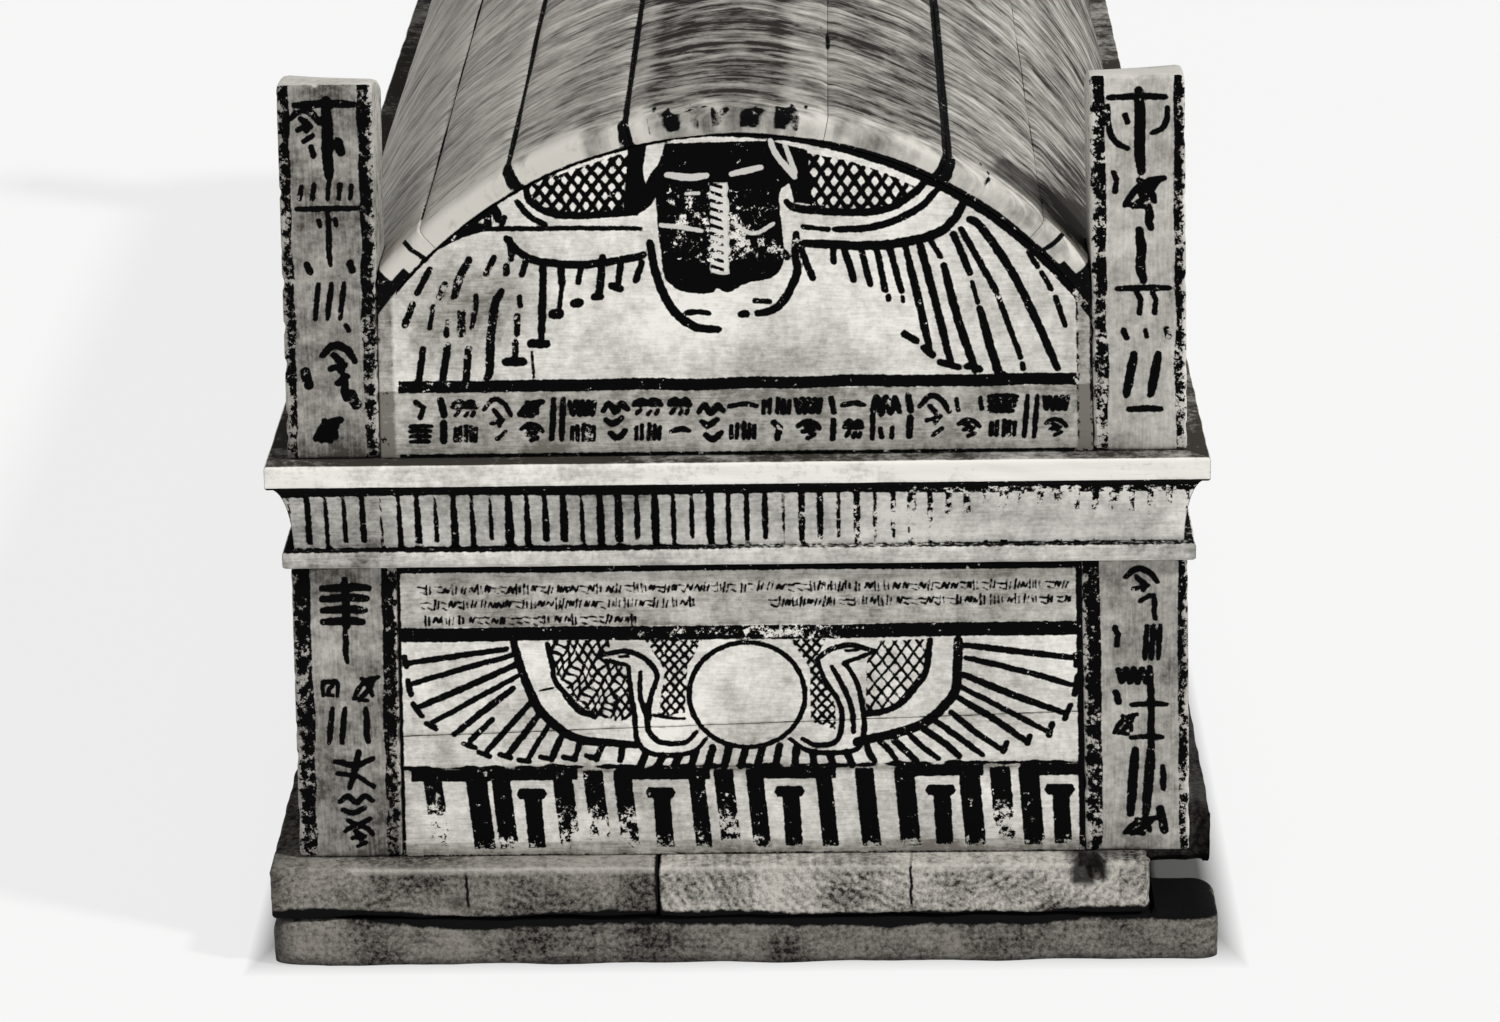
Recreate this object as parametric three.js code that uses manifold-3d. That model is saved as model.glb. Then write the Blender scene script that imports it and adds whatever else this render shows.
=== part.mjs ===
// A child's coffin of painted wood: a plank base on two battens, a low case with four corner posts,
// a cornice moulding all round, and a vaulted lid with posts of its own that rests on the cornice.
// Millimetres, +Z up. X runs across, Y along, and the decorated end that faces the viewer is at -Y.
// The origin is at the middle of the footprint, on the ground.

import * as THREE from 'three';
import { mergeVertices } from 'three/addons/utils/BufferGeometryUtils.js';
import Module from 'manifold-3d';

const wasm = await Module();
wasm.setup();

// Body
const BODY_LENGTH = 1193; // over the front and rear faces of the posts
const BODY_WIDTH = 429.5; // over the posts, at the foot of the case
const BATTER_DEG = 1.24; // inward lean of each long side
const JOINT_GAP = 0.3; // between pieces that touch
const WALL_THICKNESS = 20; // side boards of the case
const END_THICKNESS = 22; // end boards of the case and of the lid

// Base
const BATTEN_HEIGHT = 24.3;
const BATTEN_DEPTH = 40;
const BATTEN_WEAR = 4; // rounding of the battens' upper edges
const BATTEN_NOSE = 12; // rounding of the battens' ends
const BOARD_THICKNESS = 27;
const BOARD_MARGIN = 13.6; // how far the base stands out round the case
const BOARD_JOINT_X = -41; // where the two base boards meet

// Damage at the right front corner of the base
const BREAK_WIDTH = 35; // strip lost along the right edge
const BREAK_LENGTH = 61; // its length from the front
const BREAK_RAG = 4; // unevenness of the broken edge
const STUB_RISE = 2.7; // splinter left on the front batten under the lost strip
const NOTCH_X = 166;
const NOTCH_WIDTH = 13.5;
const NOTCH_HEIGHT = 9;
const NOTCH_DEPTH = 12;

// Case
const CASE_HEIGHT = 150.6;
const POST_WIDTH = 50;
const POST_DEPTH = 44;
const PANEL_JOINT_HEIGHT = 68; // middle of the joint between the two boards of an end
const PANEL_JOINT_RISE = 10; // how much that joint climbs over its width

// Cornice, from the bottom: fillet, hollow and fascia
const FILLET_HEIGHT = 8.3;
const FILLET_PROJECTION = 4;
const HOLLOW_HEIGHT = 33.4;
const HOLLOW_DEPTH = 1.2; // how far the hollow goes in at its foot
const FASCIA_HEIGHT = 11.8;
const FASCIA_PROJECTION = 9.7;
const HOLLOW_STEPS = 8;

// Lid
const VAULT_RISE = 167.3; // crest above the cornice
const VAULT_INSET = 1; // vault edge inside the line of the posts
const VAULT_THICKNESS = 12;
const VAULT_NOSE = 5; // rounding of the vault's front and rear edge
const STAVE_JOINTS_DEG = [-42.4, -28.5, -13, 12, 27.5, 42]; // from the crest, + to the right
const STAVE_STEPS_DEG = 5; // largest facet
const LID_POST_WIDTH = 43.5;
const LID_POST_HEIGHT = 180.6;
const LID_POST_FALL = 7; // how far the worn top falls to the back
const LID_POST_CORNER_FALL = 6; // further fall at the inner back corner

// Heights and lines worked out from the sizes above
const BATTER = Math.tan(THREE.MathUtils.degToRad(BATTER_DEG));
const BOARD_FOOT = BATTEN_HEIGHT + JOINT_GAP;
const BOARD_TOP = BOARD_FOOT + BOARD_THICKNESS;
const CASE_FOOT = BOARD_TOP + JOINT_GAP;
const CASE_TOP = CASE_FOOT + CASE_HEIGHT;
const CORNICE_FOOT = CASE_TOP + JOINT_GAP;
const CORNICE_TOP = CORNICE_FOOT + FILLET_HEIGHT + HOLLOW_HEIGHT + FASCIA_HEIGHT;
const LID_FOOT = CORNICE_TOP + JOINT_GAP;
const HALF_LENGTH = BODY_LENGTH / 2;
const BASE_HALF_LENGTH = HALF_LENGTH + BOARD_MARGIN;
const BASE_HALF_WIDTH = BODY_WIDTH / 2 + BOARD_MARGIN;
const BREAK_X = BASE_HALF_WIDTH - BREAK_WIDTH;

// Half the width over the posts at height z, less with every step up the leaning sides.
function halfWidthAt(z) {
  return BODY_WIDTH / 2 - (z - CASE_FOOT) * BATTER;
}

// The vault is one arc through its two springing lines and its crest.
const CORNICE_HALF_WIDTH = halfWidthAt((CORNICE_FOOT + CORNICE_TOP) / 2);
const SPRING_HALF_WIDTH = halfWidthAt(LID_FOOT) - VAULT_INSET;
const VAULT_RADIUS = (SPRING_HALF_WIDTH ** 2 + VAULT_RISE ** 2) / (2 * VAULT_RISE);
const VAULT_CENTRE_Z = LID_FOOT + VAULT_RISE - VAULT_RADIUS;
const SPRING_DEG = THREE.MathUtils.radToDeg(
  Math.atan2(SPRING_HALF_WIDTH, LID_FOOT - VAULT_CENTRE_Z));

// Finishes
const GESSO = new THREE.MeshStandardMaterial({ color: '#cfcac1', roughness: 0.85, metalness: 0 });
const GREY_POST = new THREE.MeshStandardMaterial({ color: '#a29e97', roughness: 0.85, metalness: 0 });
const LID_WOOD = new THREE.MeshStandardMaterial({ color: '#9a9389', roughness: 0.8, metalness: 0 });
const BASE_WOOD = new THREE.MeshStandardMaterial({ color: '#7d756b', roughness: 0.85, metalness: 0 });

const coffin = new THREE.Group();

function addPiece(name, geometry, material, parent = coffin) {
  const mesh = new THREE.Mesh(geometry, material);
  mesh.name = name;
  parent.add(mesh);
  return mesh;
}

// Shared vertices only, with faces turned outwards.
function closed(geometry) {
  geometry.deleteAttribute('normal');
  geometry.deleteAttribute('uv');
  const merged = mergeVertices(geometry, 1e-4);
  const position = merged.getAttribute('position');
  const index = merged.getIndex();
  const [a, b, c] = [new THREE.Vector3(), new THREE.Vector3(), new THREE.Vector3()];
  let volume = 0;
  for (let i = 0; i < index.count; i += 3) {
    a.fromBufferAttribute(position, index.getX(i));
    b.fromBufferAttribute(position, index.getX(i + 1));
    c.fromBufferAttribute(position, index.getX(i + 2));
    volume += a.dot(b.cross(c));
  }
  if (volume < 0) {
    merged.setIndex(Array.from(index.array).reverse());
  }
  return merged;
}

// A box with its lowest corner at min and its highest at max.
function box(min, max) {
  const size = max.map((value, axis) => value - min[axis]);
  const geometry = new THREE.BoxGeometry(...size);
  geometry.translate(...min.map((value, axis) => value + size[axis] / 2));
  return closed(geometry);
}

// A box of one unit, cut into steps, whose points warp(u, v, w) moves to their places.
function warpedBox([stepsX, stepsY, stepsZ], warp) {
  const geometry = new THREE.BoxGeometry(1, 1, 1, stepsX, stepsY, stepsZ);
  const position = geometry.getAttribute('position');
  for (let i = 0; i < position.count; i++) {
    const [u, v, w] = [position.getX(i) + 0.5, position.getY(i) + 0.5, position.getZ(i) + 0.5];
    position.setXYZ(i, ...warp(u, v, w));
  }
  return closed(geometry);
}

// A body through outlines of equal count, each set in space by place(point, step), with flat ends.
function loft(sections, place) {
  const clockwise = THREE.ShapeUtils.isClockWise(sections[0]);
  const outlines = clockwise ? sections.map((section) => [...section].reverse()) : sections;
  const count = outlines[0].length;
  const last = outlines.length - 1;
  const positions = outlines.flatMap((outline, step) => outline.flatMap((point) => place(point, step)));
  const triangles = [];
  for (let step = 0; step < last; step++) {
    for (let i = 0; i < count; i++) {
      const [a, b] = [step * count + i, step * count + (i + 1) % count];
      triangles.push(a, b, b + count, a, b + count, a + count);
    }
  }
  for (const [a, b, c] of THREE.ShapeUtils.triangulateShape(outlines[0], [])) {
    triangles.push(c, b, a);
  }
  for (const [a, b, c] of THREE.ShapeUtils.triangulateShape(outlines[last], [])) {
    triangles.push(last * count + a, last * count + b, last * count + c);
  }
  const geometry = new THREE.BufferGeometry();
  geometry.setAttribute('position', new THREE.Float32BufferAttribute(positions, 3));
  geometry.setIndex(triangles);
  return closed(geometry);
}

// An outline in X and Z, given a thickness along Y from yMin to yMax.
function slab(outline, yMin, yMax) {
  const shape = new THREE.Shape(outline);
  const geometry = new THREE.ExtrudeGeometry(shape, { depth: yMax - yMin, bevelEnabled: false });
  geometry.rotateX(Math.PI / 2);
  geometry.translate(0, yMax, 0);
  return closed(geometry);
}

function toManifold(geometry) {
  return new wasm.Manifold(new wasm.Mesh({
    numProp: 3,
    vertProperties: new Float32Array(geometry.getAttribute('position').array),
    triVerts: new Uint32Array(geometry.getIndex().array),
  }));
}

// The first body with the others cut out of it.
function cut(geometry, ...tools) {
  let solid = toManifold(geometry);
  for (const tool of tools) {
    solid = solid.subtract(toManifold(tool));
  }
  const mesh = solid.getMesh();
  const result = new THREE.BufferGeometry();
  result.setAttribute('position', new THREE.BufferAttribute(mesh.vertProperties, 3));
  result.setIndex(new THREE.BufferAttribute(mesh.triVerts, 1));
  return result;
}

// Base: two planks side by side on two cross battens. The right one has lost a strip at its front
// corner, and has a small notch in the upper edge of its end grain.
function baseBoard(outline) {
  const shape = new THREE.Shape(outline);
  const geometry = new THREE.ExtrudeGeometry(shape, { depth: BOARD_THICKNESS, bevelEnabled: false });
  geometry.translate(0, 0, BOARD_FOOT);
  return closed(geometry);
}

function addBaseBoards() {
  const [x, y] = [BASE_HALF_WIDTH, BASE_HALF_LENGTH];
  const left = BOARD_JOINT_X - JOINT_GAP / 2;
  const right = BOARD_JOINT_X + JOINT_GAP / 2;
  const leftOutline = [[-x, -y], [left, -y], [left, y], [-x, y]];
  const breakEnd = BREAK_LENGTH - y;
  const rightOutline = [
    [right, -y],
    [BREAK_X, -y],
    [BREAK_X + BREAK_RAG / 2, breakEnd - BREAK_LENGTH / 2],
    [BREAK_X - BREAK_RAG / 4, breakEnd - BREAK_RAG],
    [BREAK_X + BREAK_WIDTH / 3, breakEnd],
    [BREAK_X + BREAK_WIDTH * 2 / 3, breakEnd - BREAK_RAG],
    [x, breakEnd - BREAK_RAG / 2],
    [x, y],
    [right, y],
  ];
  const points = (outline) => outline.map(([px, py]) => new THREE.Vector2(px, py));
  addPiece('base_board_left', baseBoard(points(leftOutline)), BASE_WOOD);
  const notch = box(
    [NOTCH_X - NOTCH_WIDTH / 2, -y - 1, BOARD_TOP - NOTCH_HEIGHT],
    [NOTCH_X + NOTCH_WIDTH / 2, -y + NOTCH_DEPTH, BOARD_TOP + 1]);
  addPiece('base_board_right', cut(baseBoard(points(rightOutline)), notch), BASE_WOOD);
}

// A batten is hewn: its ends are rounded over, its upper edges are worn in a slow wave, and the
// front one carries a splinter of the lost strip at its right end.
function battenSection(x, rise) {
  const end = Math.max(0, Math.abs(x) - (BASE_HALF_WIDTH - BATTEN_NOSE)) / BATTEN_NOSE;
  const shrink = BATTEN_NOSE * 0.5 * (1 - Math.sqrt(Math.max(0, 1 - end ** 2)));
  const wear = BATTEN_WEAR * (0.75 + 0.25 * Math.sin(x / 31) * Math.cos(x / 17));
  const [back, top] = [BATTEN_DEPTH - shrink, BATTEN_HEIGHT + rise - shrink];
  return [
    [shrink, 0],
    [shrink, top - wear],
    [shrink + wear * 0.3, top - wear * 0.3],
    [shrink + wear, top],
    [back - wear, top],
    [back - wear * 0.3, top - wear * 0.3],
    [back, top - wear],
    [back, 0],
  ].map(([y, z]) => new THREE.Vector2(y, z));
}

function addBatten(name, end) {
  const steps = 40;
  const stations = [];
  for (let i = 0; i <= steps; i++) {
    stations.push({ x: BASE_HALF_WIDTH * Math.sin((i / steps - 0.5) * Math.PI), rise: 0 });
  }
  if (end < 0) {
    const stubStart = BREAK_X + BREAK_RAG;
    const before = stations.filter(({ x }) => x < stubStart - 1);
    const after = stations.filter(({ x }) => x > stubStart + 1);
    const rise = STUB_RISE;
    stations.length = 0;
    stations.push(...before, { x: stubStart, rise: 0 }, { x: stubStart + 0.5, rise });
    stations.push(...after.map(({ x }) => ({ x, rise })));
  }
  const outlines = stations.map(({ x, rise }) => battenSection(x, rise));
  const place = (point, step) => [stations[step].x, end * (BASE_HALF_LENGTH - point.x), point.y];
  addPiece(name, loft(outlines, place), BASE_WOOD);
}

// A post leans with the long sides: its outer face follows the batter and its width stays the same.
// grow widens it all round, for the clearance cut into a neighbour.
function postBody(side, end, foot, height, width, topFall, grow = 0) {
  return warpedBox([4, 4, 1], (u, v, w) => {
    const z = foot - grow + w * (height + 2 * grow - topFall(u, v));
    const inwards = -grow + u * (width + 2 * grow);
    const back = -grow + v * (POST_DEPTH + 2 * grow);
    return [side * (halfWidthAt(z) - inwards), end * (HALF_LENGTH - back), z];
  });
}

function lidPost(side, end, grow = 0) {
  const fall = (u, v) => v * v * (LID_POST_FALL + LID_POST_CORNER_FALL * u);
  return postBody(side, end, LID_FOOT, LID_POST_HEIGHT, LID_POST_WIDTH, fall, grow);
}

// Case: an end is two boards between the posts, with a joint that climbs a little to the right.
function addCaseEnd(prefix, end) {
  const edge = (z) => halfWidthAt(z) - POST_WIDTH - JOINT_GAP;
  const middle = CASE_FOOT + PANEL_JOINT_HEIGHT;
  const [low, high] = [middle - PANEL_JOINT_RISE / 2, middle + PANEL_JOINT_RISE / 2];
  const gap = JOINT_GAP / 2;
  const lower = [
    [-edge(CASE_FOOT), CASE_FOOT],
    [edge(CASE_FOOT), CASE_FOOT],
    [edge(high), high - gap],
    [-edge(low), low - gap],
  ];
  const upper = [
    [-edge(low), low + gap],
    [edge(high), high + gap],
    [edge(CASE_TOP), CASE_TOP],
    [-edge(CASE_TOP), CASE_TOP],
  ];
  const inner = end * (HALF_LENGTH - END_THICKNESS);
  const [yMin, yMax] = [Math.min(end * HALF_LENGTH, inner), Math.max(end * HALF_LENGTH, inner)];
  const points = (outline) => outline.map(([x, z]) => new THREE.Vector2(x, z));
  addPiece(`${prefix}_panel_lower_board`, slab(points(lower), yMin, yMax), GESSO);
  addPiece(`${prefix}_panel_upper_board`, slab(points(upper), yMin, yMax), GESSO);
}

function addCaseSide(name, side) {
  const reach = HALF_LENGTH - POST_DEPTH - JOINT_GAP;
  const geometry = warpedBox([1, 1, 1], (u, v, w) => {
    const z = CASE_FOOT + w * CASE_HEIGHT;
    return [side * (halfWidthAt(z) - u * WALL_THICKNESS), (2 * v - 1) * reach, z];
  });
  addPiece(name, geometry, GESSO);
}

// Cornice: a fillet, a hollow that sweeps outwards as it rises, and a fascia, mitred at the corners.
function corniceProfile() {
  const profile = [[-END_THICKNESS, CORNICE_FOOT], [FILLET_PROJECTION, CORNICE_FOOT]];
  const hollowFoot = CORNICE_FOOT + FILLET_HEIGHT;
  const hollowTop = hollowFoot + HOLLOW_HEIGHT;
  profile.push([FILLET_PROJECTION, hollowFoot]);
  for (let i = 0; i <= HOLLOW_STEPS; i++) {
    const angle = (i / HOLLOW_STEPS) * Math.PI / 2;
    const out = -HOLLOW_DEPTH + (FASCIA_PROJECTION - 1 + HOLLOW_DEPTH) * (1 - Math.cos(angle));
    profile.push([out, hollowFoot + HOLLOW_HEIGHT * Math.sin(angle)]);
  }
  profile.push([FASCIA_PROJECTION, hollowTop], [FASCIA_PROJECTION, CORNICE_TOP]);
  profile.push([-END_THICKNESS, CORNICE_TOP]);
  return profile.map(([out, z]) => new THREE.Vector2(out, z));
}

function addCornice(name, along, across, turn) {
  const profile = corniceProfile();
  const reach = (out) => along + out - JOINT_GAP;
  const place = (point, step) => [(step ? 1 : -1) * reach(point.x), -across - point.x, point.y];
  const mesh = addPiece(name, loft([profile, profile], place), GESSO);
  mesh.rotation.z = turn;
}

// Lid: end boards under the vault, flush with the posts, and seven staves laid over them.
function addLidEnd(name, end) {
  const radius = VAULT_RADIUS - VAULT_THICKNESS - JOINT_GAP;
  const edge = (z) => halfWidthAt(z) - LID_POST_WIDTH - JOINT_GAP;
  const shoulder = VAULT_CENTRE_Z + Math.sqrt(radius ** 2 - edge(LID_FOOT) ** 2);
  const spread = Math.asin(edge(shoulder) / radius);
  const outline = [[edge(LID_FOOT), LID_FOOT]];
  const steps = 24;
  for (let i = 0; i <= steps; i++) {
    const angle = spread * (1 - 2 * i / steps);
    outline.push([radius * Math.sin(angle), VAULT_CENTRE_Z + radius * Math.cos(angle)]);
  }
  outline.push([-edge(LID_FOOT), LID_FOOT]);
  const inner = end * (HALF_LENGTH - END_THICKNESS);
  const [yMin, yMax] = [Math.min(end * HALF_LENGTH, inner), Math.max(end * HALF_LENGTH, inner)];
  const points = outline.map(([x, z]) => new THREE.Vector2(x, z));
  addPiece(name, slab(points, yMin, yMax), GESSO);
}

function staveOutline(fromDeg, toDeg, radius) {
  const trim = THREE.MathUtils.radToDeg(JOINT_GAP / 2 / VAULT_RADIUS);
  const [from, to] = [fromDeg + trim, toDeg - trim];
  const steps = Math.ceil((to - from) / STAVE_STEPS_DEG);
  const outline = [];
  const inner = VAULT_RADIUS - VAULT_THICKNESS;
  for (let i = 0; i <= steps; i++) {
    const angle = THREE.MathUtils.degToRad(from + (to - from) * i / steps);
    outline.push(new THREE.Vector2(radius * Math.sin(angle), VAULT_CENTRE_Z + radius * Math.cos(angle)));
  }
  for (let i = steps; i >= 0; i--) {
    const angle = THREE.MathUtils.degToRad(from + (to - from) * i / steps);
    outline.push(new THREE.Vector2(inner * Math.sin(angle), VAULT_CENTRE_Z + inner * Math.cos(angle)));
  }
  return outline;
}

function staveBody(fromDeg, toDeg) {
  const nose = [];
  const noseSteps = 4;
  for (let i = 0; i <= noseSteps; i++) {
    const angle = (i / noseSteps) * Math.PI / 2;
    nose.push({
      y: -HALF_LENGTH + VAULT_NOSE * (1 - Math.cos(angle)),
      radius: VAULT_RADIUS - VAULT_NOSE * (1 - Math.sin(angle)),
    });
  }
  const tail = nose.map(({ y, radius }) => ({ y: -y, radius })).reverse();
  const stations = [...nose, ...tail];
  const outlines = stations.map(({ radius }) => staveOutline(fromDeg, toDeg, radius));
  return loft(outlines, (point, step) => [point.x, stations[step].y, point.y]);
}

// The outermost staves are notched round the lid posts and planed flat where they rest.
function addStaves() {
  const joints = [-SPRING_DEG, ...STAVE_JOINTS_DEG, SPRING_DEG];
  const posts = [-1, 1].map((side) => [-1, 1].map((end) => lidPost(side, end, JOINT_GAP)));
  const bed = box([-BODY_WIDTH, -BODY_LENGTH, CORNICE_FOOT], [BODY_WIDTH, BODY_LENGTH, LID_FOOT]);
  for (let i = 0; i < joints.length - 1; i++) {
    const name = `lid_stave_${i + 1}`;
    const body = staveBody(joints[i], joints[i + 1]);
    const first = i === 0;
    const last = i === joints.length - 2;
    const notched = first || last;
    const geometry = notched ? cut(body, bed, ...posts[last ? 1 : 0]) : body;
    addPiece(name, geometry, LID_WOOD);
  }
}

addBaseBoards();
addBatten('batten_front', -1);
addBatten('batten_rear', 1);

for (const [endName, end] of [['front', -1], ['rear', 1]]) {
  for (const [sideName, side] of [['left', -1], ['right', 1]]) {
    const flat = () => 0;
    const casePost = postBody(side, end, CASE_FOOT, CASE_HEIGHT, POST_WIDTH, flat);
    addPiece(`case_post_${endName}_${sideName}`, casePost, GREY_POST);
    addPiece(`lid_post_${endName}_${sideName}`, lidPost(side, end), GREY_POST);
  }
  addCaseEnd(`case_${endName}`, end);
  addLidEnd(`lid_end_board_${endName}`, end);
}
addCaseSide('case_side_left', -1);
addCaseSide('case_side_right', 1);

addCornice('cornice_front', CORNICE_HALF_WIDTH, HALF_LENGTH, 0);
addCornice('cornice_right', HALF_LENGTH, CORNICE_HALF_WIDTH, Math.PI / 2);
addCornice('cornice_rear', CORNICE_HALF_WIDTH, HALF_LENGTH, Math.PI);
addCornice('cornice_left', HALF_LENGTH, CORNICE_HALF_WIDTH, -Math.PI / 2);

addStaves();

export default coffin;
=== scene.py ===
import math

import bpy
import numpy as np
from mathutils import Matrix, Vector


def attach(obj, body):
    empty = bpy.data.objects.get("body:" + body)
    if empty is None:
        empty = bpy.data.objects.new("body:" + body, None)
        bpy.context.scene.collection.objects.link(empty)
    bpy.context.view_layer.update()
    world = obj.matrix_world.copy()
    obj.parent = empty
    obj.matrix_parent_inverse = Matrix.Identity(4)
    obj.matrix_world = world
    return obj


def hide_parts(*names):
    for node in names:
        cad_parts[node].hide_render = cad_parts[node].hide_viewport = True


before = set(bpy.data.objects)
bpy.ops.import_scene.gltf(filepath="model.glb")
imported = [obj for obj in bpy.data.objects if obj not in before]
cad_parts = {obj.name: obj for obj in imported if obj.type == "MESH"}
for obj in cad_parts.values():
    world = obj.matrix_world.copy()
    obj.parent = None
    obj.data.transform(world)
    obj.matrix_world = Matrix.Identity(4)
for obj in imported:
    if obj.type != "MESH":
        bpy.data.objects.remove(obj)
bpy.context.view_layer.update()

# Studio: a pale seamless floor, a sun lamp high at the right, a wide soft disc in front, and white air.
# The photograph is a monochrome plate, so every colour here is a nearly neutral grey. The camera
# stands in front of the decorated end and looks down on it by about twenty degrees.
CAMERA_PLACE = (0.049, -2.657, 0.999)
CAMERA_DOWN_DEG = 20.50
CAMERA_LEFT_DEG = 1.20
CAMERA_TILT_DEG = -1.01
CAMERA_LENS = 112.5
SENSOR_WIDTH = 36.0
FLOOR_SIZE = 60.0
FLOOR_LEVEL = -0.0003
FLOOR_GLOW = 0.80
# where the floor's glow fades out round the coffin: painted shade beneath it, and a painted contact shadow
# at its edge
GLOW_EDGES = ((0, 0.226, 0.243), (1, 0.57, 0.62))
KEY_AIM = (-1.85, 0.80, -2.10)
KEY_STRENGTH = 2.9
KEY_SOFTNESS_DEG = 5.0
FRONT_PLACE = (-1.9, -3.4, 1.5)
FRONT_TARGET = (0.0, -0.5, 0.25)
FRONT_SIZE = 1.6
FRONT_WATTS = 22.0
WORLD_STRENGTH = 0.26


def linear(hex_colour):
    """sRGB hex to linear colour: c / 12.92 up to 0.04045, and ((c + 0.055) / 1.055) ^ 2.4 above."""
    channels = [int(hex_colour[i:i + 2], 16) / 255 for i in (1, 3, 5)]
    curve = [c / 12.92 if c <= 0.04045 else ((c + 0.055) / 1.055) ** 2.4 for c in channels]
    return (*curve, 1.0)


def add_node(material, kind, inputs=None, **settings):
    """Adds a shader node. An input, by name or number, takes a value, a node's first output or a socket."""
    node = material.node_tree.nodes.new("ShaderNode" + kind)
    for setting, value in settings.items():
        setattr(node, setting, value)
    for key, value in (inputs or {}).items():
        if isinstance(value, bpy.types.Node):
            material.node_tree.links.new(value.outputs[0], node.inputs[key])
        elif isinstance(value, bpy.types.NodeSocket):
            material.node_tree.links.new(value, node.inputs[key])
        else:
            node.inputs[key].default_value = value
    return node


def new_material(name):
    """An empty material with nodes, and nothing in its tree yet."""
    material = bpy.data.materials.new(name)
    material.use_nodes = True
    material.node_tree.nodes.clear()
    return material


def add_studio():
    """Floor, lights and world. A light is turned so that its -Z axis points at the coffin.

    The floor is matt paper that glows a little, as a lit backdrop does, so that it looks nearly white.
    Beneath the coffin it stays dark, as painted shade under it: the glow grows from 0 to its full
    strength over GLOW_EDGES, which are (axis, inner, outer) in metres, and the stronger of the two axes
    holds, so a soft painted contact shadow rings the coffin's foot.
    """
    half = FLOOR_SIZE / 2
    corners = [(x, y, FLOOR_LEVEL) for x, y in ((-half, -half), (half, -half), (half, half), (-half, half))]
    sheet = bpy.data.meshes.new("studio_floor")
    sheet.from_pydata(corners, [], [(0, 1, 2, 3)])
    floor = bpy.data.objects.new("studio_floor", sheet)
    bpy.context.scene.collection.objects.link(floor)
    paper = new_material("seamless_paper")
    place = add_node(paper, "TexCoord").outputs["Object"]
    clouds = add_node(paper, "TexNoise", {"Vector": place, "Scale": 3.0})
    tint = add_node(paper, "Mix", {
        "Factor": clouds.outputs[0], 6: linear("#626261"), 7: linear("#656564")}, data_type="RGBA")
    axes = add_node(paper, "SeparateXYZ", {0: place})
    beside = []
    # the glow is left out beneath the coffin, which paints the shade under it
    for axis, inner, outer in GLOW_EDGES:
        away = add_node(paper, "Math", {0: axes.outputs[axis]}, operation="ABSOLUTE")
        beside.append(add_node(paper, "MapRange", {
            "Value": away, "From Min": inner, "From Max": outer, "To Min": 0.0, "To Max": FLOOR_GLOW}))
    glow = add_node(paper, "Math", {0: beside[0].outputs[0], 1: beside[1].outputs[0]}, operation="MAXIMUM")
    shader = add_node(paper, "BsdfPrincipled", {
        "Base Color": tint.outputs[2], "Roughness": 0.95, "Specular IOR Level": 0.1,
        "Emission Color": (1.0, 1.0, 1.0, 1.0), "Emission Strength": glow})
    add_node(paper, "OutputMaterial", {"Surface": shader})
    sheet.materials.append(paper)

    far = bpy.data.lights.new("key_light", "SUN")
    far.energy = KEY_STRENGTH
    far.angle = math.radians(KEY_SOFTNESS_DEG)
    near = bpy.data.lights.new("front_light", "AREA")
    near.shape = "DISK"
    near.size = FRONT_SIZE
    near.energy = FRONT_WATTS
    for lamp, spot, aim in ((far, -Vector(KEY_AIM), Vector(KEY_AIM)),
                            (near, Vector(FRONT_PLACE), Vector(FRONT_TARGET) - Vector(FRONT_PLACE))):
        light = bpy.data.objects.new(lamp.name, lamp)
        bpy.context.scene.collection.objects.link(light)
        light.rotation_mode = "QUATERNION"
        light.rotation_quaternion = aim.to_track_quat("-Z", "Y")
        light.location = spot

    world = bpy.data.worlds.new("studio")
    world.use_nodes = True
    world.node_tree.nodes["Background"].inputs["Color"].default_value = (1.0, 1.0, 1.0, 1.0)
    world.node_tree.nodes["Background"].inputs["Strength"].default_value = WORLD_STRENGTH
    bpy.context.scene.world = world
    bpy.context.scene.view_settings.view_transform = "Standard"


def add_camera():
    """A camera matrix from three turns: down, to the left, and about its own line of sight."""
    down, left, tilt = (math.radians(v) for v in (CAMERA_DOWN_DEG, CAMERA_LEFT_DEG, CAMERA_TILT_DEG))
    ahead = Vector((-math.sin(left) * math.cos(down), math.cos(left) * math.cos(down), -math.sin(down)))
    level = Vector((math.cos(left), math.sin(left), 0.0))
    above = level.cross(ahead)
    right = level * math.cos(tilt) + above * math.sin(tilt)
    up = above * math.cos(tilt) - level * math.sin(tilt)
    lens = bpy.data.cameras.new("camera")
    lens.sensor_width = SENSOR_WIDTH
    lens.lens = CAMERA_LENS
    camera = bpy.data.objects.new("camera", lens)
    bpy.context.scene.collection.objects.link(camera)
    turn = Matrix((right, up, -ahead)).transposed().to_4x4()
    camera.matrix_world = Matrix.Translation(CAMERA_PLACE) @ turn
    bpy.context.scene.camera = camera


add_studio()
add_camera()


# Battens: two hewn bars of bare softwood under the planks, one near each end, worn round at the
# ends and along the upper edges. The front one keeps a splinter of the lost strip on its right end.
# Everything below is worked out in millimetres and made metres when its mesh is made.
BASE_HALF_WIDTH = 228.35
BASE_HALF_LENGTH = 610.1
BATTEN_HEIGHT = 24.3
BATTEN_DEPTH = 40.0
BATTEN_NOSE = 12.0
STUB_START = 197.4
STUB_RISE = 2.7
BREAK_X = 193.35
BOARD_FOOT = 24.6
BOARD_JOINT_X = -41.0
BATTEN_STATIONS = 181
SHARP_EDGE_DEG = 50
RING_SCALE = 314.0  # a wave texture of this scale repeats every millimetre
PORE_MM = 2.4
CHIP_MM = 7.0
STAIN_MM = 38.0
BEND_MM = 95.0


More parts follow.
